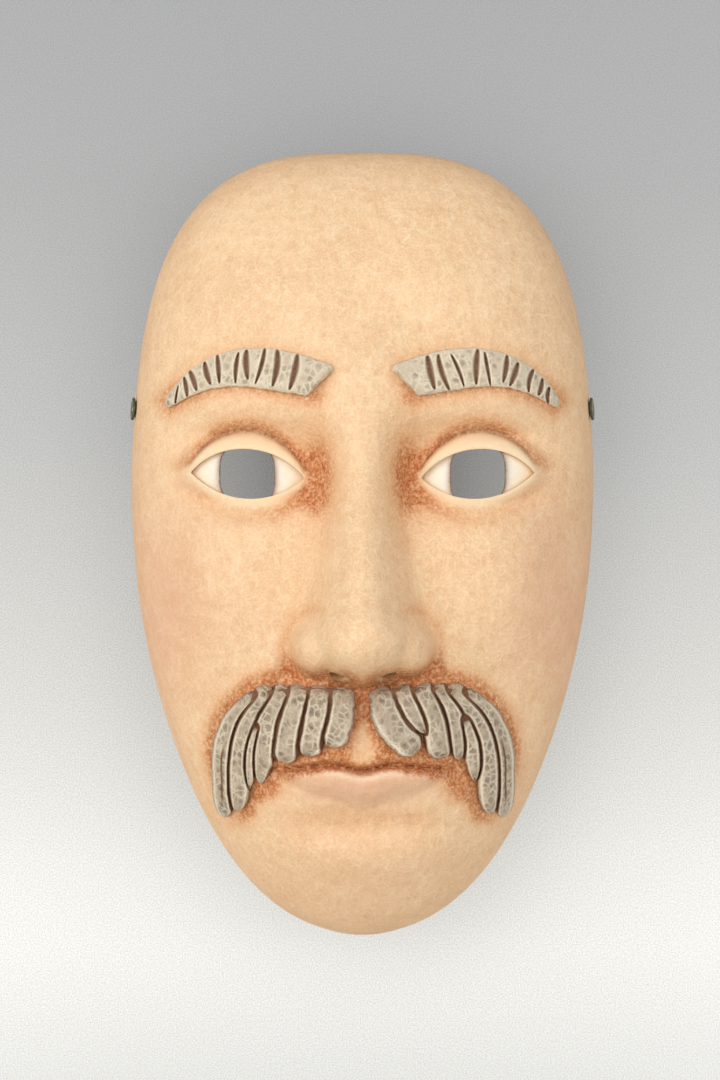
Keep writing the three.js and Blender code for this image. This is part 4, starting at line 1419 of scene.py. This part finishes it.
@dataclass(frozen=True)
class EyePlate:
    """One domed eye plate: an oval let in behind the lids, with a rounded-square sight hole."""

    side: Side
    half_width: float = 16.8
    half_height: float = 9.8
    thickness: float = 2.5
    hole_power: float = 3.4
    edge_round: float = 0.35

    def build(self, finishes: Finishes) -> None:
        """Carries the plate's section round the hole: from its front edge out over the dome and back."""
        around = 144
        turn = np.linspace(0, 2 * np.pi, around, endpoint=False)
        p, h = self.hole_power, FORM.sight_hole / 2
        reach = h * (np.abs(np.cos(turn)) ** p + np.abs(np.sin(turn)) ** p) ** (-1 / p)
        hole = np.stack([reach * np.cos(turn), reach * np.sin(turn) + 0.2], -1)
        rim = np.stack([self.half_width * np.cos(turn), self.half_height * np.sin(turn)], -1)
        out = np.concatenate([[0.0, 0.006, 0.02], np.linspace(0.05, 1.0, 22)])
        r = self.edge_round
        sink = np.concatenate([[r, 0.3 * r, 0.05 * r], np.zeros(22)])
        shares = np.concatenate([out, out[::-1][:-3], [0.0, 0.0, 0.0]])
        wall = [self.thickness * 0.7, self.thickness * 0.45, 0.8]
        layer = np.concatenate([sink, np.full(22, self.thickness), wall])
        u = shares[:, None, None]
        flat = hole * (1 - u) + rim * u
        x = FORM.eye_x + flat[..., 0]
        z = FORM.eye_z + FORM.eye_tilt * flat[..., 0] + flat[..., 1]
        depth = FORM.eye_knob(x, z, FORM.lid_thickness) - layer[:, None]
        grid = np.stack([x * self.side.value, -depth, z], -1)
        # Brown near the sight hole's edge, partly a painted line and partly painted shade, and painted shade
        # down the hole's wall.
        browned = 1.2 * np.exp(-shares * 11) * (layer < 2.4) + (shares == 0) * 0.6
        edge = np.repeat(browned[:, None], around, 1)
        corner = np.clip((np.abs(flat[..., 0]) - 9.5) / 6, 0, 1)
        rings = len(shares)
        quads = Surface.cells(rings, around, wrap_rows=True, wrap_columns=True)
        values = {"edge": np.clip(edge, 0, 1).ravel(), "corner": corner.ravel()}
        plate = Surface(grid.reshape(-1, 3), quads.tolist(), values)
        obj = plate.build(f"domed_eye_plate_{self.side.label}")
        sharpen(obj, 50)
        hand_over(obj, f"eye_plate_{self.side.label}", finishes.eye)


@dataclass(frozen=True)
class CordHole:
    """One cord hole in the side wall, with its flanged metal eyelet."""

    side: Side
    drop: float = 72.6
    depth: float = 10.5
    radius: float = 2.2
    wall: float = 0.6
    flange: float = 1.0
    lip: float = 0.7
    gap: float = 0.3
    barrel: float = 7.2
    flare: float = 0.9
    curl: float = 0.4

    def spot(self) -> tuple[Array, Array]:
        """The point on the wall where the hole is, and the way out of the wood there."""
        z, near = FORM.height / 2 - self.drop, 0.2
        xs = np.linspace(0, FORM.width / 2, 4001)
        zs = np.full_like(xs, z)
        inside = (FORM.outward(xs, zs) < 1) & (FORM.smooth_depth(xs, zs) > self.depth)
        x = float(xs[np.nonzero(inside)[0][-1]])
        probe_x = np.array([x, x - near, x - near, x - near])
        probe = FORM.smooth_depth(probe_x, np.array([z, z, z + near, z - near]))
        slope_x, slope_z = (probe[0] - probe[1]) / near, (probe[2] - probe[3]) / (2 * near)
        out = np.array([-slope_x * self.side.value, -1.0, -slope_z])
        return np.array([self.side.value * x, -self.depth, z]), out / np.linalg.norm(out)

    def cutters(self) -> list[bpy.types.Object]:
        """The bore through the wall, and the flat that is dressed under the flange."""
        point, out = self.spot()
        bore = self.radius + self.gap
        seat = self.radius + self.flange + self.gap
        bar = lathe([(0, -20), (bore, -20), (bore, 6), (0, 6)], point, out, 40)
        flat = lathe([(0, 0), (seat, 0), (seat + 1.2, 4), (0, 4)], point, out, 56)
        return [bar.build("bore"), flat.build("seat")]

    def build(self, finishes: Finishes) -> None:
        """Turns the eyelet: a thin barrel with a rolled flange, flared at its inner end."""
        point, out = self.spot()
        outer, bore = self.radius, self.radius - self.wall
        brim, half_lip = self.radius + self.flange - self.curl, self.lip / 2
        roll = [
            (brim + self.curl * math.cos(a), self.gap + half_lip + half_lip * math.sin(a))
            for a in np.linspace(-np.pi / 2, np.pi / 2, 9)
        ]
        throat = [
            (bore + self.flare * (1 - math.sin(a)), self.gap + self.lip - self.flare * (1 - math.cos(a)))
            for a in np.linspace(0, np.pi / 2, 8)
        ]
        profile = [(bore, -self.barrel), (outer, -self.barrel), (outer, self.gap)] + roll + throat
        wear = [0.0, 0.0, 0.0] + [0.25] * len(roll) + [0.9] * len(throat)
        obj = lathe(profile, point, out, 64, wear).build(f"lined_cord_eyelet_{self.side.label}")
        sharpen(obj, 40)
        hand_over(obj, f"cord_eyelet_{self.side.label}", finishes.brass)


# ---------------------------------------------------------------------- pads and pegs


@dataclass(frozen=True)
class Pad:
    """A soft pad in the hollow: crowned towards the wearer, with a piped seam where its two cloths meet."""

    node: str
    x: float
    z: float
    half_width: float
    half_height: float
    thickness: float = 8.0
    seam: float = 1.4
    piping: float = 0.85
    off_wood: float = 0.8
    puckers: int = 23
    squareness: float = 2.4

    def build(self, finishes: Finishes) -> None:
        """Lays a crowned slab on the wood, pulls its seam in unevenly and runs a piping cord round it."""
        rings, around = 56, 220
        turn = np.linspace(0, 2 * np.pi, around, endpoint=False)
        lift = np.linspace(0, np.pi, rings)
        t2, a2 = np.meshgrid(lift, turn, indexing="ij")
        reach = np.sin(t2) ** 0.8
        pulled = np.sin(a2 * self.puckers)
        puckers = 1 + 0.012 * pulled * reach**6
        rx, rz = self.half_width - self.piping - 0.2, self.half_height - self.piping - 0.2
        power = self.squareness
        square = (np.abs(np.cos(a2)) ** power + np.abs(np.sin(a2)) ** power) ** (-1 / power)
        x = self.x + rx * square * reach * puckers * np.cos(a2)
        z = self.z + rz * square * reach * puckers * np.sin(a2)
        front = t2 < np.pi / 2
        crown = (self.thickness - self.seam - 0.4) * np.abs(np.cos(t2)) ** 0.75
        crown = crown * (1 - 0.0175 * pulled * reach**3)
        back = (self.seam - 0.1) * np.abs(np.cos(t2)) ** 0.6
        depth = FORM.hollow(x, z) - self.off_wood - self.seam + np.where(front, -crown, back)
        grid = np.stack([x, -depth, z], -1)
        body = Surface.tube(grid, {"edge": reach**14})
        sides = 14
        tube_turn = np.linspace(0, 2 * np.pi, sides, endpoint=False)
        px = self.x + (rx + 0.35) * square[0] * np.cos(turn)
        pz = self.z + (rz + 0.35) * square[0] * np.sin(turn)
        out = np.stack([np.cos(turn), np.sin(turn)], -1)
        ring = self.piping * (1 + 0.06 * np.sin(turn * 90))
        gx = px[:, None] + out[:, :1] * ring[:, None] * np.cos(tube_turn)
        gz = pz[:, None] + out[:, 1:] * ring[:, None] * np.cos(tube_turn)
        seam_depth = FORM.hollow(px, pz) - self.off_wood - self.seam
        gd = seam_depth[:, None] + ring[:, None] * np.sin(tube_turn)
        cord = np.stack([gx, -gd, gz], -1)
        quads = Surface.cells(around, sides, wrap_rows=True, wrap_columns=True)
        piping = Surface(cord.reshape(-1, 3), quads.tolist(), {"edge": np.full(around * sides, 0.3)})
        piped = piping.build("piping")
        obj = body.build(f"cloth_{self.node}")
        cut(obj, [piped], "UNION")
        obj.data.polygons.foreach_set("use_smooth", np.ones(len(obj.data.polygons), bool))
        hand_over(obj, self.node, finishes.cloth)


@dataclass(frozen=True)
class Peg:
    """A bamboo peg that holds an applied piece, with its cut end showing in the hollow."""

    node: str
    radius: float = 1.2
    clearance: float = 0.12
    hidden: float = 1.1

    def ends(self) -> tuple[Array, float]:
        """The middle of the peg's end in the hollow, and the peg's length towards the face."""
        low, high = (np.array(corner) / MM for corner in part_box(self.node))
        x, z = (low[0] + high[0]) / 2, (low[2] + high[2]) / 2
        return np.array([x, high[1], z]), float(high[1] - low[1]) - self.hidden

    def cutter(self) -> bpy.types.Object:
        """The bore in the shell."""
        start, length = self.ends()
        r = self.radius + self.clearance
        along = np.array([0.0, -1.0, 0.0])
        bore = lathe([(0, -3), (r, -3), (r, length - 0.6), (0, length - 0.6)], start, along, 24)
        return bore.build("peg_bore")

    def build(self, finishes: Finishes) -> None:
        """Turns the peg: a slightly tapered bar with broken edges."""
        start, length = self.ends()
        r = self.radius
        profile = [(0, 0.05), (0.4 * r, 0.02), (r - 0.18, 0), (r - 0.04, 0.07), (r, 0.25)]
        profile += [(r * 0.97, length - 0.8), (r * 0.7, length - 0.3), (0, length - 0.3)]
        obj = lathe(profile, start, np.array([0.0, -1.0, 0.0]), 24).build(f"bamboo_{self.node}")
        sharpen(obj, 50)
        hand_over(obj, self.node, finishes.bamboo)


# ---------------------------------------------------------------------- the shell


@dataclass(frozen=True)
class Shell:
    """The carved face: a block with the face on its front, hollowed behind, and cut for eyes and cord."""

    columns: int = 232
    rows: int = 322
    hollow_columns: int = 92
    hollow_rows: int = 128
    edge_round: float = 1.3

    @staticmethod
    def spread(t: Array) -> Array:
        """Steps that lie closer together in the middle, where the face is worked finest."""
        return t * (0.74 + 0.26 * t * t)

    def bowl(
        self,
        columns: int,
        rows: int,
        inset: float,
        depth: Callable[[Array, Array], Array],
        rim: Sequence[tuple[float, float]],
        even: bool,
    ) -> Surface:
        """A closed form: a grid inside the outline, rings that follow its edge back, and a flat back.

        Args:
            columns: cells across the grid.
            rows: cells up the grid.
            inset: how far the grid's edge is drawn in from the mask's outline.
            depth: the grid's depth at (x, z).
            rim: (inset, depth) of each ring behind the grid's edge.
            even: even steps instead of finer ones in the middle.

        Returns:
            The closed surface.
        """
        u, v = np.meshgrid(np.linspace(-1, 1, columns + 1), np.linspace(-1, 1, rows + 1))
        if not even:
            u, v = self.spread(u), self.spread(v)
        x, z = FORM.on_outline(u, v, inset)
        front = np.stack([x, -depth(x, z), z], -1)
        number = np.arange((columns + 1) * (rows + 1)).reshape(rows + 1, columns + 1)

        def edge(a: Array) -> Array:
            """The values of an array on the grid's edge, in order round it."""
            return np.concatenate([a[0, :-1], a[:-1, -1], a[-1, :0:-1], a[:0:-1, 0]])

        ring_u, ring_v = edge(u), edge(v)
        points, faces = [front.reshape(-1, 3)], Surface.cells(rows + 1, columns + 1).tolist()
        last, base = edge(number), front.shape[0] * front.shape[1]
        for ring_inset, ring_depth in rim:
            rx, rz = FORM.on_outline(ring_u, ring_v, ring_inset)
            points.append(np.stack([rx, np.full_like(rx, -ring_depth), rz], -1))
            number_here = base + np.arange(len(rx))
            base += len(rx)
            faces += np.stack([last, number_here, np.roll(number_here, -1), np.roll(last, -1)], -1).tolist()
            last = number_here
        faces.append(last[::-1].tolist())
        return Surface(np.concatenate(points), faces)

    def block(self) -> bpy.types.Object:
        """The face before it is hollowed."""
        a = np.linspace(0, np.pi / 2, 5)
        rounded = [(self.edge_round * (1 - math.cos(t)), self.edge_round * (1 - math.sin(t))) for t in a]
        rim = [(0.0, 2.2)] + rounded
        return self.bowl(self.columns, self.rows, 0.0, FORM.depth, rim, False).build("carved_face_shell")

    def core(self) -> bpy.types.Object:
        """What the hollow takes away, flared at its mouth."""
        band, r = FORM.rim_band, self.edge_round
        a = np.linspace(0, np.pi / 2, 5)
        flare = [(band - r * (1 - math.cos(t)), r * (1 - math.sin(t))) for t in a]
        rim = flare + [(band - r, -3.0)]
        bowl = self.bowl(self.hollow_columns, self.hollow_rows, band, FORM.gouged_hollow, rim, True)
        return bowl.build("core")

    def eye_cutters(self, side: Side) -> list[bpy.types.Object]:
        """The pocket behind the lids, and the opening between them."""
        s = side.value
        plate = EyePlate(side)

        def place(u: Array, v: Array) -> tuple[Array, Array]:
            """The pocket's oval."""
            x, z = oval(u, v, plate.half_width + 0.3, plate.half_height + 0.3)
            return s * (FORM.eye_x + x), FORM.eye_z + FORM.eye_tilt * x + z

        def ball(x: Array, z: Array, u: Array, v: Array) -> Array:
            """The pocket's domed end, just in front of the plate."""
            return FORM.eye_knob(np.abs(x), z, FORM.lid_thickness) + 0.25

        pocket = slab(place, ball, lambda x, z, u, v: np.full_like(x, -5.0), 48, 32)
        steps = 56
        turn = np.pi * np.arange(2 * steps) / steps
        x = FORM.lid_half_width * np.cos(turn)
        upper, lower = FORM.lid_rise(x)
        rise = np.where(np.arange(2 * steps) <= steps, upper, -lower)
        ring_x, ring_z = s * (FORM.eye_x + x), FORM.eye_z + FORM.eye_tilt * x + rise
        front, back = FORM.nose_tip, FORM.eye_depth - 12
        points = np.concatenate([np.stack([ring_x, np.full_like(x, -d), ring_z], -1) for d in (front, back)])
        count = 2 * steps
        here = np.arange(count)
        walls = np.stack([here, here + count, np.roll(here, -1) + count, np.roll(here, -1)], -1).tolist()
        lids = Surface(points, walls + [here.tolist(), (here[::-1] + count).tolist()])
        return [pocket.build("pocket"), lids.build("lids")]

    def nostril_cutter(self, side: Side) -> bpy.types.Object:
        """A nostril: a tapered bore that runs up into the nose."""
        tip = FORM.nose_tip
        mouth = np.array([side.value * FORM.nostril_x, -(tip - 15.5), FORM.nose_z - 4.5])
        throat = np.array([side.value * 5.3, -(tip - 27), FORM.nose_z + 16])
        length = float(np.linalg.norm(throat - mouth))
        profile = [(0, 0), (3.3, 0), (3.0, length * 0.3), (2.5, length), (0, length)]
        return lathe(profile, mouth, throat - mouth, 40).build("nostril")

    def wash(self, x: Array, z: Array, y: Array) -> dict[str, Array]:
        """Where the stain and the blush lie on the face, with the pale line of painted highlight on the lower
        lip and the dark lines of painted shade in the creases.

        Args:
            x: places across.
            z: places up.
            y: places from front to back.

        Returns:
            The named attributes, each from 0 to 1.
        """
        ax = np.abs(x)
        n, e, b = FORM.nose_z, FORM.eye_z, FORM.brow_z
        depth_below = np.clip(FORM.smooth_depth(x, z) + y, 0, 30)
        above, below = FORM.lid_gap(ax, z)
        ex = ax - FORM.eye_x
        near_eye = 1 - step(16, 24, np.abs(ex))
        inner_side = step(6, -12, ex)
        band = FORM.lid_width(ex)
        up = FORM.above_eye(ex, z)
        lid = near_eye * (1 - step(14.5, 19.0, np.abs(ex)))
        lid = lid * np.where(up > 0, step(-0.5, 0.4, above) * (1 - step(0.85, 1.1, above / band)), 0.0)
        lower_lid = near_eye * (1 - step(14.5, 18.0, np.abs(ex))) * (1 - step(1.4, 3.2, below)) * (up <= 0)
        crease_line = band * 1.16
        over_lid = ridge(above - crease_line - 1.2, 3.0) * (up > 0) * near_eye
        corner = mound(ax, z, FORM.eye_x - 19.5, e + 1.0, 5.5, 12)
        under_eye = ridge(below - 4.8, 3.6) * (up <= 0) * near_eye * (0.45 + 0.55 * inner_side)
        side_of_nose = mound(ax, z, 12.5, e - 6, 4.5, 15) * 0.55
        wing = np.hypot((ax - FORM.wing_x) / 8.4, (z - n - FORM.wing_up) / 9.2)
        wing_crease = ridge(wing - 1.16, 0.22) * step(8.5, 13.5, ax)
        under_nose = mound(ax, z, 0, n - 7, 9, 6)
        fold = ridge(ax - FORM.fold_place(z), 2.6) * step(n + 14, n + 2, z) * step(n - 30, n - 10, z)

        places = np.stack([ax, z], -1)
        left, right = (nearest(places, Moustache(side).footprint()) for side in Side)
        moustache = np.minimum(left, right)
        outward = FORM.outward(x, z)
        hair = (1 - step(2.8, 8.8, moustache)) * (1 - 0.85 * step(0.84, 0.96, outward))
        brow = nearest(places, Brow(Side.RIGHT).footprint())
        brow_edge = (1 - step(0.6, 6.5, brow)) * (0.35 + 0.65 * step(b + 15, b + 3, z))
        line = FORM.mouth_line(ax)
        from_mouth = ax / (FORM.mouth_width / 2)
        mouth_gap = ridge(z - line - 0.3, 1.7) * (1 - step(0.95, 1.25, from_mouth))
        mouth_round = ridge(z - line - 1.2, 4.2) * (1 - step(0.9, 1.5, from_mouth))
        lip_low = 0.9 * mound(ax, z, 0, FORM.mouth_z - 5.6, 20, 4.6, 2.6)
        under_lip = ridge(z - (FORM.mouth_z - 14.5), 3.2) * (1 - step(14, 26, ax)) * 0.35

        stain = 0.75 * over_lid + 0.8 * corner + 0.62 * under_eye + 0.5 * side_of_nose + 0.5 * wing_crease
        stain = stain + 0.95 * hair + 0.7 * brow_edge + 0.5 * under_nose
        stain = stain + 0.7 * mouth_gap + 0.42 * mouth_round + 0.42 * fold + under_lip
        front = 1 - step(3.0, 5.0, depth_below)
        rim = step(0.90, 1.0, outward) * 0.16
        # Painted shade: dark lines in the lid's fold and between the lips, and a dark patch at each nostril's
        # mouth.
        lid_crease = ridge(above - crease_line, 0.85) * (up > 0) * near_eye * step(19, 12, np.abs(ex))
        lip_crease = ridge(z - line, 0.9) * (1 - step(0.8, 1.05, from_mouth))
        crease = np.clip(1.1 * lid_crease + 0.55 * lip_crease, 0, 1)
        nostril = mound(ax, z, FORM.nostril_x, n - 2.5, 3.0, 2.6) * 0.5
        blush = 0.42 * mound(ax, z, 55, e - 36, 15, 30) + 0.16 * mound(ax, z, 0, FORM.chin_z, 26, 14)
        # Painted highlight along the lower lip's upper edge, just below the line between the lips.
        border = ridge(line - z - 2.0, 0.9) * (1 - step(0.7, 1.1, from_mouth))
        return {
            "stain": np.clip(stain * front * (1 - 0.9 * lid) * (1 - 0.6 * lower_lid) + rim, 0, 1),
            "blush": np.clip(blush, 0, 1),
            "lid": np.clip(lid + 0.75 * lower_lid, 0, 1),
            "lip": np.clip(lip_low, 0, 1),
            "border": np.clip(border, 0, 1),
            "crease": np.clip((crease * 0.55 + nostril) * front, 0, 1),
        }

    def build(self, finishes: Finishes, pegs: Sequence[Peg]) -> None:
        """Carves the shell, paints its front and leaves its inside bare."""
        obj = self.block()
        tools = [self.core()]
        for side in Side:
            tools += self.eye_cutters(side) + [self.nostril_cutter(side)] + CordHole(side).cutters()
        tools += [peg.cutter() for peg in pegs]
        cut(obj, tools)
        mesh = obj.data
        points = mesh_points(mesh)
        for name, values in self.wash(points[:, 0], points[:, 2], points[:, 1]).items():
            put_values(mesh, name, values)
        mesh.materials.clear()
        mesh.materials.append(finishes.skin)
        mesh.materials.append(finishes.wood)
        count = len(mesh.polygons)
        centre, normal = np.empty(count * 3, np.float32), np.empty(count * 3, np.float32)
        mesh.polygons.foreach_get("center", centre)
        mesh.polygons.foreach_get("normal", normal)
        centre, normal = centre.reshape(-1, 3).astype(float) / MM, normal.reshape(-1, 3)
        below = FORM.smooth_depth(centre[:, 0], centre[:, 2]) + centre[:, 1]
        outward = FORM.outward(centre[:, 0], centre[:, 2])
        inside = (normal[:, 1] > 0.35) | ((below > 3.4) & (outward < 0.96))
        mesh.polygons.foreach_set("material_index", inside.astype(np.int32))
        sharpen(obj, 38)
        hand_over(obj, "face_shell", finishes.skin)


def nearest(places: Array, others: Array) -> Array:
    """The distance from each place to the nearest of some others, a block of places at a time."""
    found, count = np.empty(len(places)), 20000
    for start in range(0, len(places), count):
        block = places[start : start + count, None, :] - others[None, :, :]
        found[start : start + count] = np.sqrt((block**2).sum(-1).min(1))
    return found


# ---------------------------------------------------------------------- studio


@dataclass(frozen=True)
class Studio:
    """A pale floor and a backdrop that greys towards its top, soft lamps, and the camera."""

    distance: float = 1.15
    view_height: float = 0.3004
    backdrop_y: float = 0.036
    floor_z: float = -0.19
    paper_foot: float = -0.16
    paper_rise: float = 0.34
    grain_share: float = 0.36
    glow: float = 1.12
    # the glow left in the deepest painted shadow
    painted_shadow_glow: float = 0.15
    glow_share: float = 0.72

    def stage_sheet(
        self, name: str, corners: Sequence[tuple[float, float, float]], finish: bpy.types.Material
    ) -> None:
        """A flat sheet that belongs to the stage."""
        mesh = bpy.data.meshes.new(name)
        mesh.from_pydata(list(corners), [], [(0, 1, 2, 3)])
        mesh.materials.append(finish)
        obj = bpy.data.objects.new(name, mesh)
        bpy.context.scene.collection.objects.link(obj)

    def backdrop_finish(self) -> bpy.types.Material:
        """Paper that runs from pale at the bottom to grey at the top, with a painted shadow in its glow where
        the mask is near it, and that isn't there from behind.
        """
        w = Writer("backdrop paper")
        parts = w.node("ShaderNodeSeparateXYZ", {}, {0: w.place})
        height = Value(w, parts.outputs[2])
        place = ((height - self.paper_foot) / self.paper_rise).clamped()
        stops = [
            (0.0, paint(255, 255, 251)),
            (0.12, paint(254, 253, 248)),
            (0.34, paint(227, 226, 221)),
            (0.56, paint(200, 200, 198)),
            (0.78, paint(179, 179, 179)),
            (1.0, paint(169, 169, 170)),
        ]
        ramp = w.node("ShaderNodeValToRGB", {"stops": stops}, {0: place})
        grain = w.noise(0.4, 1, 0.8).between(0.25, 0.75)
        speckled = w.mix(grain * self.grain_share, ramp.outputs[0], (0.18, 0.18, 0.18, 1.0))
        # Painted shadow: ambient occlusion dims the paper's glow behind and round the mask.
        painted_shadow_ao = w.node("ShaderNodeAmbientOcclusion", {"samples": 8}, {"Distance": 0.1}).outputs["AO"]
        paper = w.node("ShaderNodeBsdfDiffuse", {}, {"Color": speckled})
        strength = Value(w, painted_shadow_ao) * self.glow + self.painted_shadow_glow
        glow = w.node("ShaderNodeEmission", {}, {"Color": speckled, "Strength": strength})
        ray = w.node("ShaderNodeLightPath").outputs
        seen = (Value(w, ray["Is Camera Ray"]) + ray["Is Glossy Ray"] + ray["Is Transmission Ray"]).clamped()
        lit = w.node(
            "ShaderNodeMixShader", {}, {0: seen * self.glow_share, 1: paper.outputs[0], 2: glow.outputs[0]}
        )
        clear = w.node("ShaderNodeBsdfTransparent")
        back = w.node("ShaderNodeNewGeometry").outputs["Backfacing"]
        both = w.node("ShaderNodeMixShader", {}, {0: back, 1: lit.outputs[0], 2: clear.outputs[0]})
        w.node("ShaderNodeOutputMaterial", {}, {"Surface": both.outputs[0]})
        return w.material

    def floor_finish(self) -> bpy.types.Material:
        """Matt white paper."""
        w = Writer("floor paper")
        grain = w.noise(0.45, 2, 0.8)
        colour = w.mix(grain.between(0.3, 0.7) * 0.06, paint(240, 239, 234), paint(205, 205, 202))
        return w.finish(colour, 0.9, None, Specular_IOR_Level=0.1)

    def lamp(
        self, name: str, place: tuple[float, float, float], power: float, size: float, tint: Colour
    ) -> None:
        """A square soft lamp that points at the mask."""
        light = bpy.data.lights.new(name, "AREA")
        light.energy, light.size, light.color = power, size, tint[:3]
        obj = bpy.data.objects.new(name, light)
        start = np.array(place)
        obj.location = place
        way = -start / np.linalg.norm(start)
        obj.rotation_euler = (math.acos(-way[2]), 0.0, math.atan2(way[0], -way[1]) + math.pi)
        bpy.context.scene.collection.objects.link(obj)

    def build(self) -> None:
        """Sets up the stage, the light and the camera."""
        scene = bpy.context.scene
        scene.view_settings.view_transform = "Standard"
        y, z = self.backdrop_y, self.floor_z
        self.stage_sheet("backdrop", [(-3, y, z), (3, y, z), (3, y, 3), (-3, y, 3)], self.backdrop_finish())
        self.stage_sheet("floor", [(-3, -3, z), (3, -3, z), (3, 3, z), (-3, 3, z)], self.floor_finish())

        world = bpy.data.worlds.new("studio")
        scene.world = world
        world.use_nodes = True
        world.node_tree.nodes["Background"].inputs["Color"].default_value = (0.93, 0.96, 1.0, 1.0)
        world.node_tree.nodes["Background"].inputs["Strength"].default_value = 0.6

        self.lamp("key", (-1.6, -2.6, 0.14), 77.0, 2.6, (1.0, 0.985, 0.96, 1.0))
        self.lamp("fill", (1.6, -2.5, -0.22), 39.0, 2.2, (0.98, 0.99, 1.0, 1.0))

        camera = bpy.data.cameras.new("camera")
        camera.sensor_fit = "VERTICAL"
        camera.sensor_height = 36.0
        camera.lens = 36.0 * (self.distance - 0.02) / self.view_height
        obj = bpy.data.objects.new("camera", camera)
        obj.location = (-0.0007, -self.distance, 0.0007)
        obj.rotation_euler = (math.pi / 2, 0.0, 0.0)
        scene.collection.objects.link(obj)
        scene.camera = obj


def main() -> None:
    """Builds every piece in order."""
    logging.basicConfig(level=logging.INFO, format="%(name)s %(message)s")
    finishes = Finishes.write()
    Studio().build()
    pegs = [Peg(name) for name in sorted(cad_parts) if "_peg_" in name]
    Shell().build(finishes, pegs)
    for side in Side:
        Brow(side).build(finishes)
        Moustache(side).build(finishes)
        EyePlate(side).build(finishes)
        CordHole(side).build(finishes)
        Pad(f"cheek_pad_{side.label}", 38.0 * side.value, -22.0, 9.5, 19.0).build(finishes)
    Pad("forehead_pad", 0.0, 76.0, 29.0, 10.0).build(finishes)
    for peg in pegs:
        peg.build(finishes)


if __name__ == "__main__":
    main()
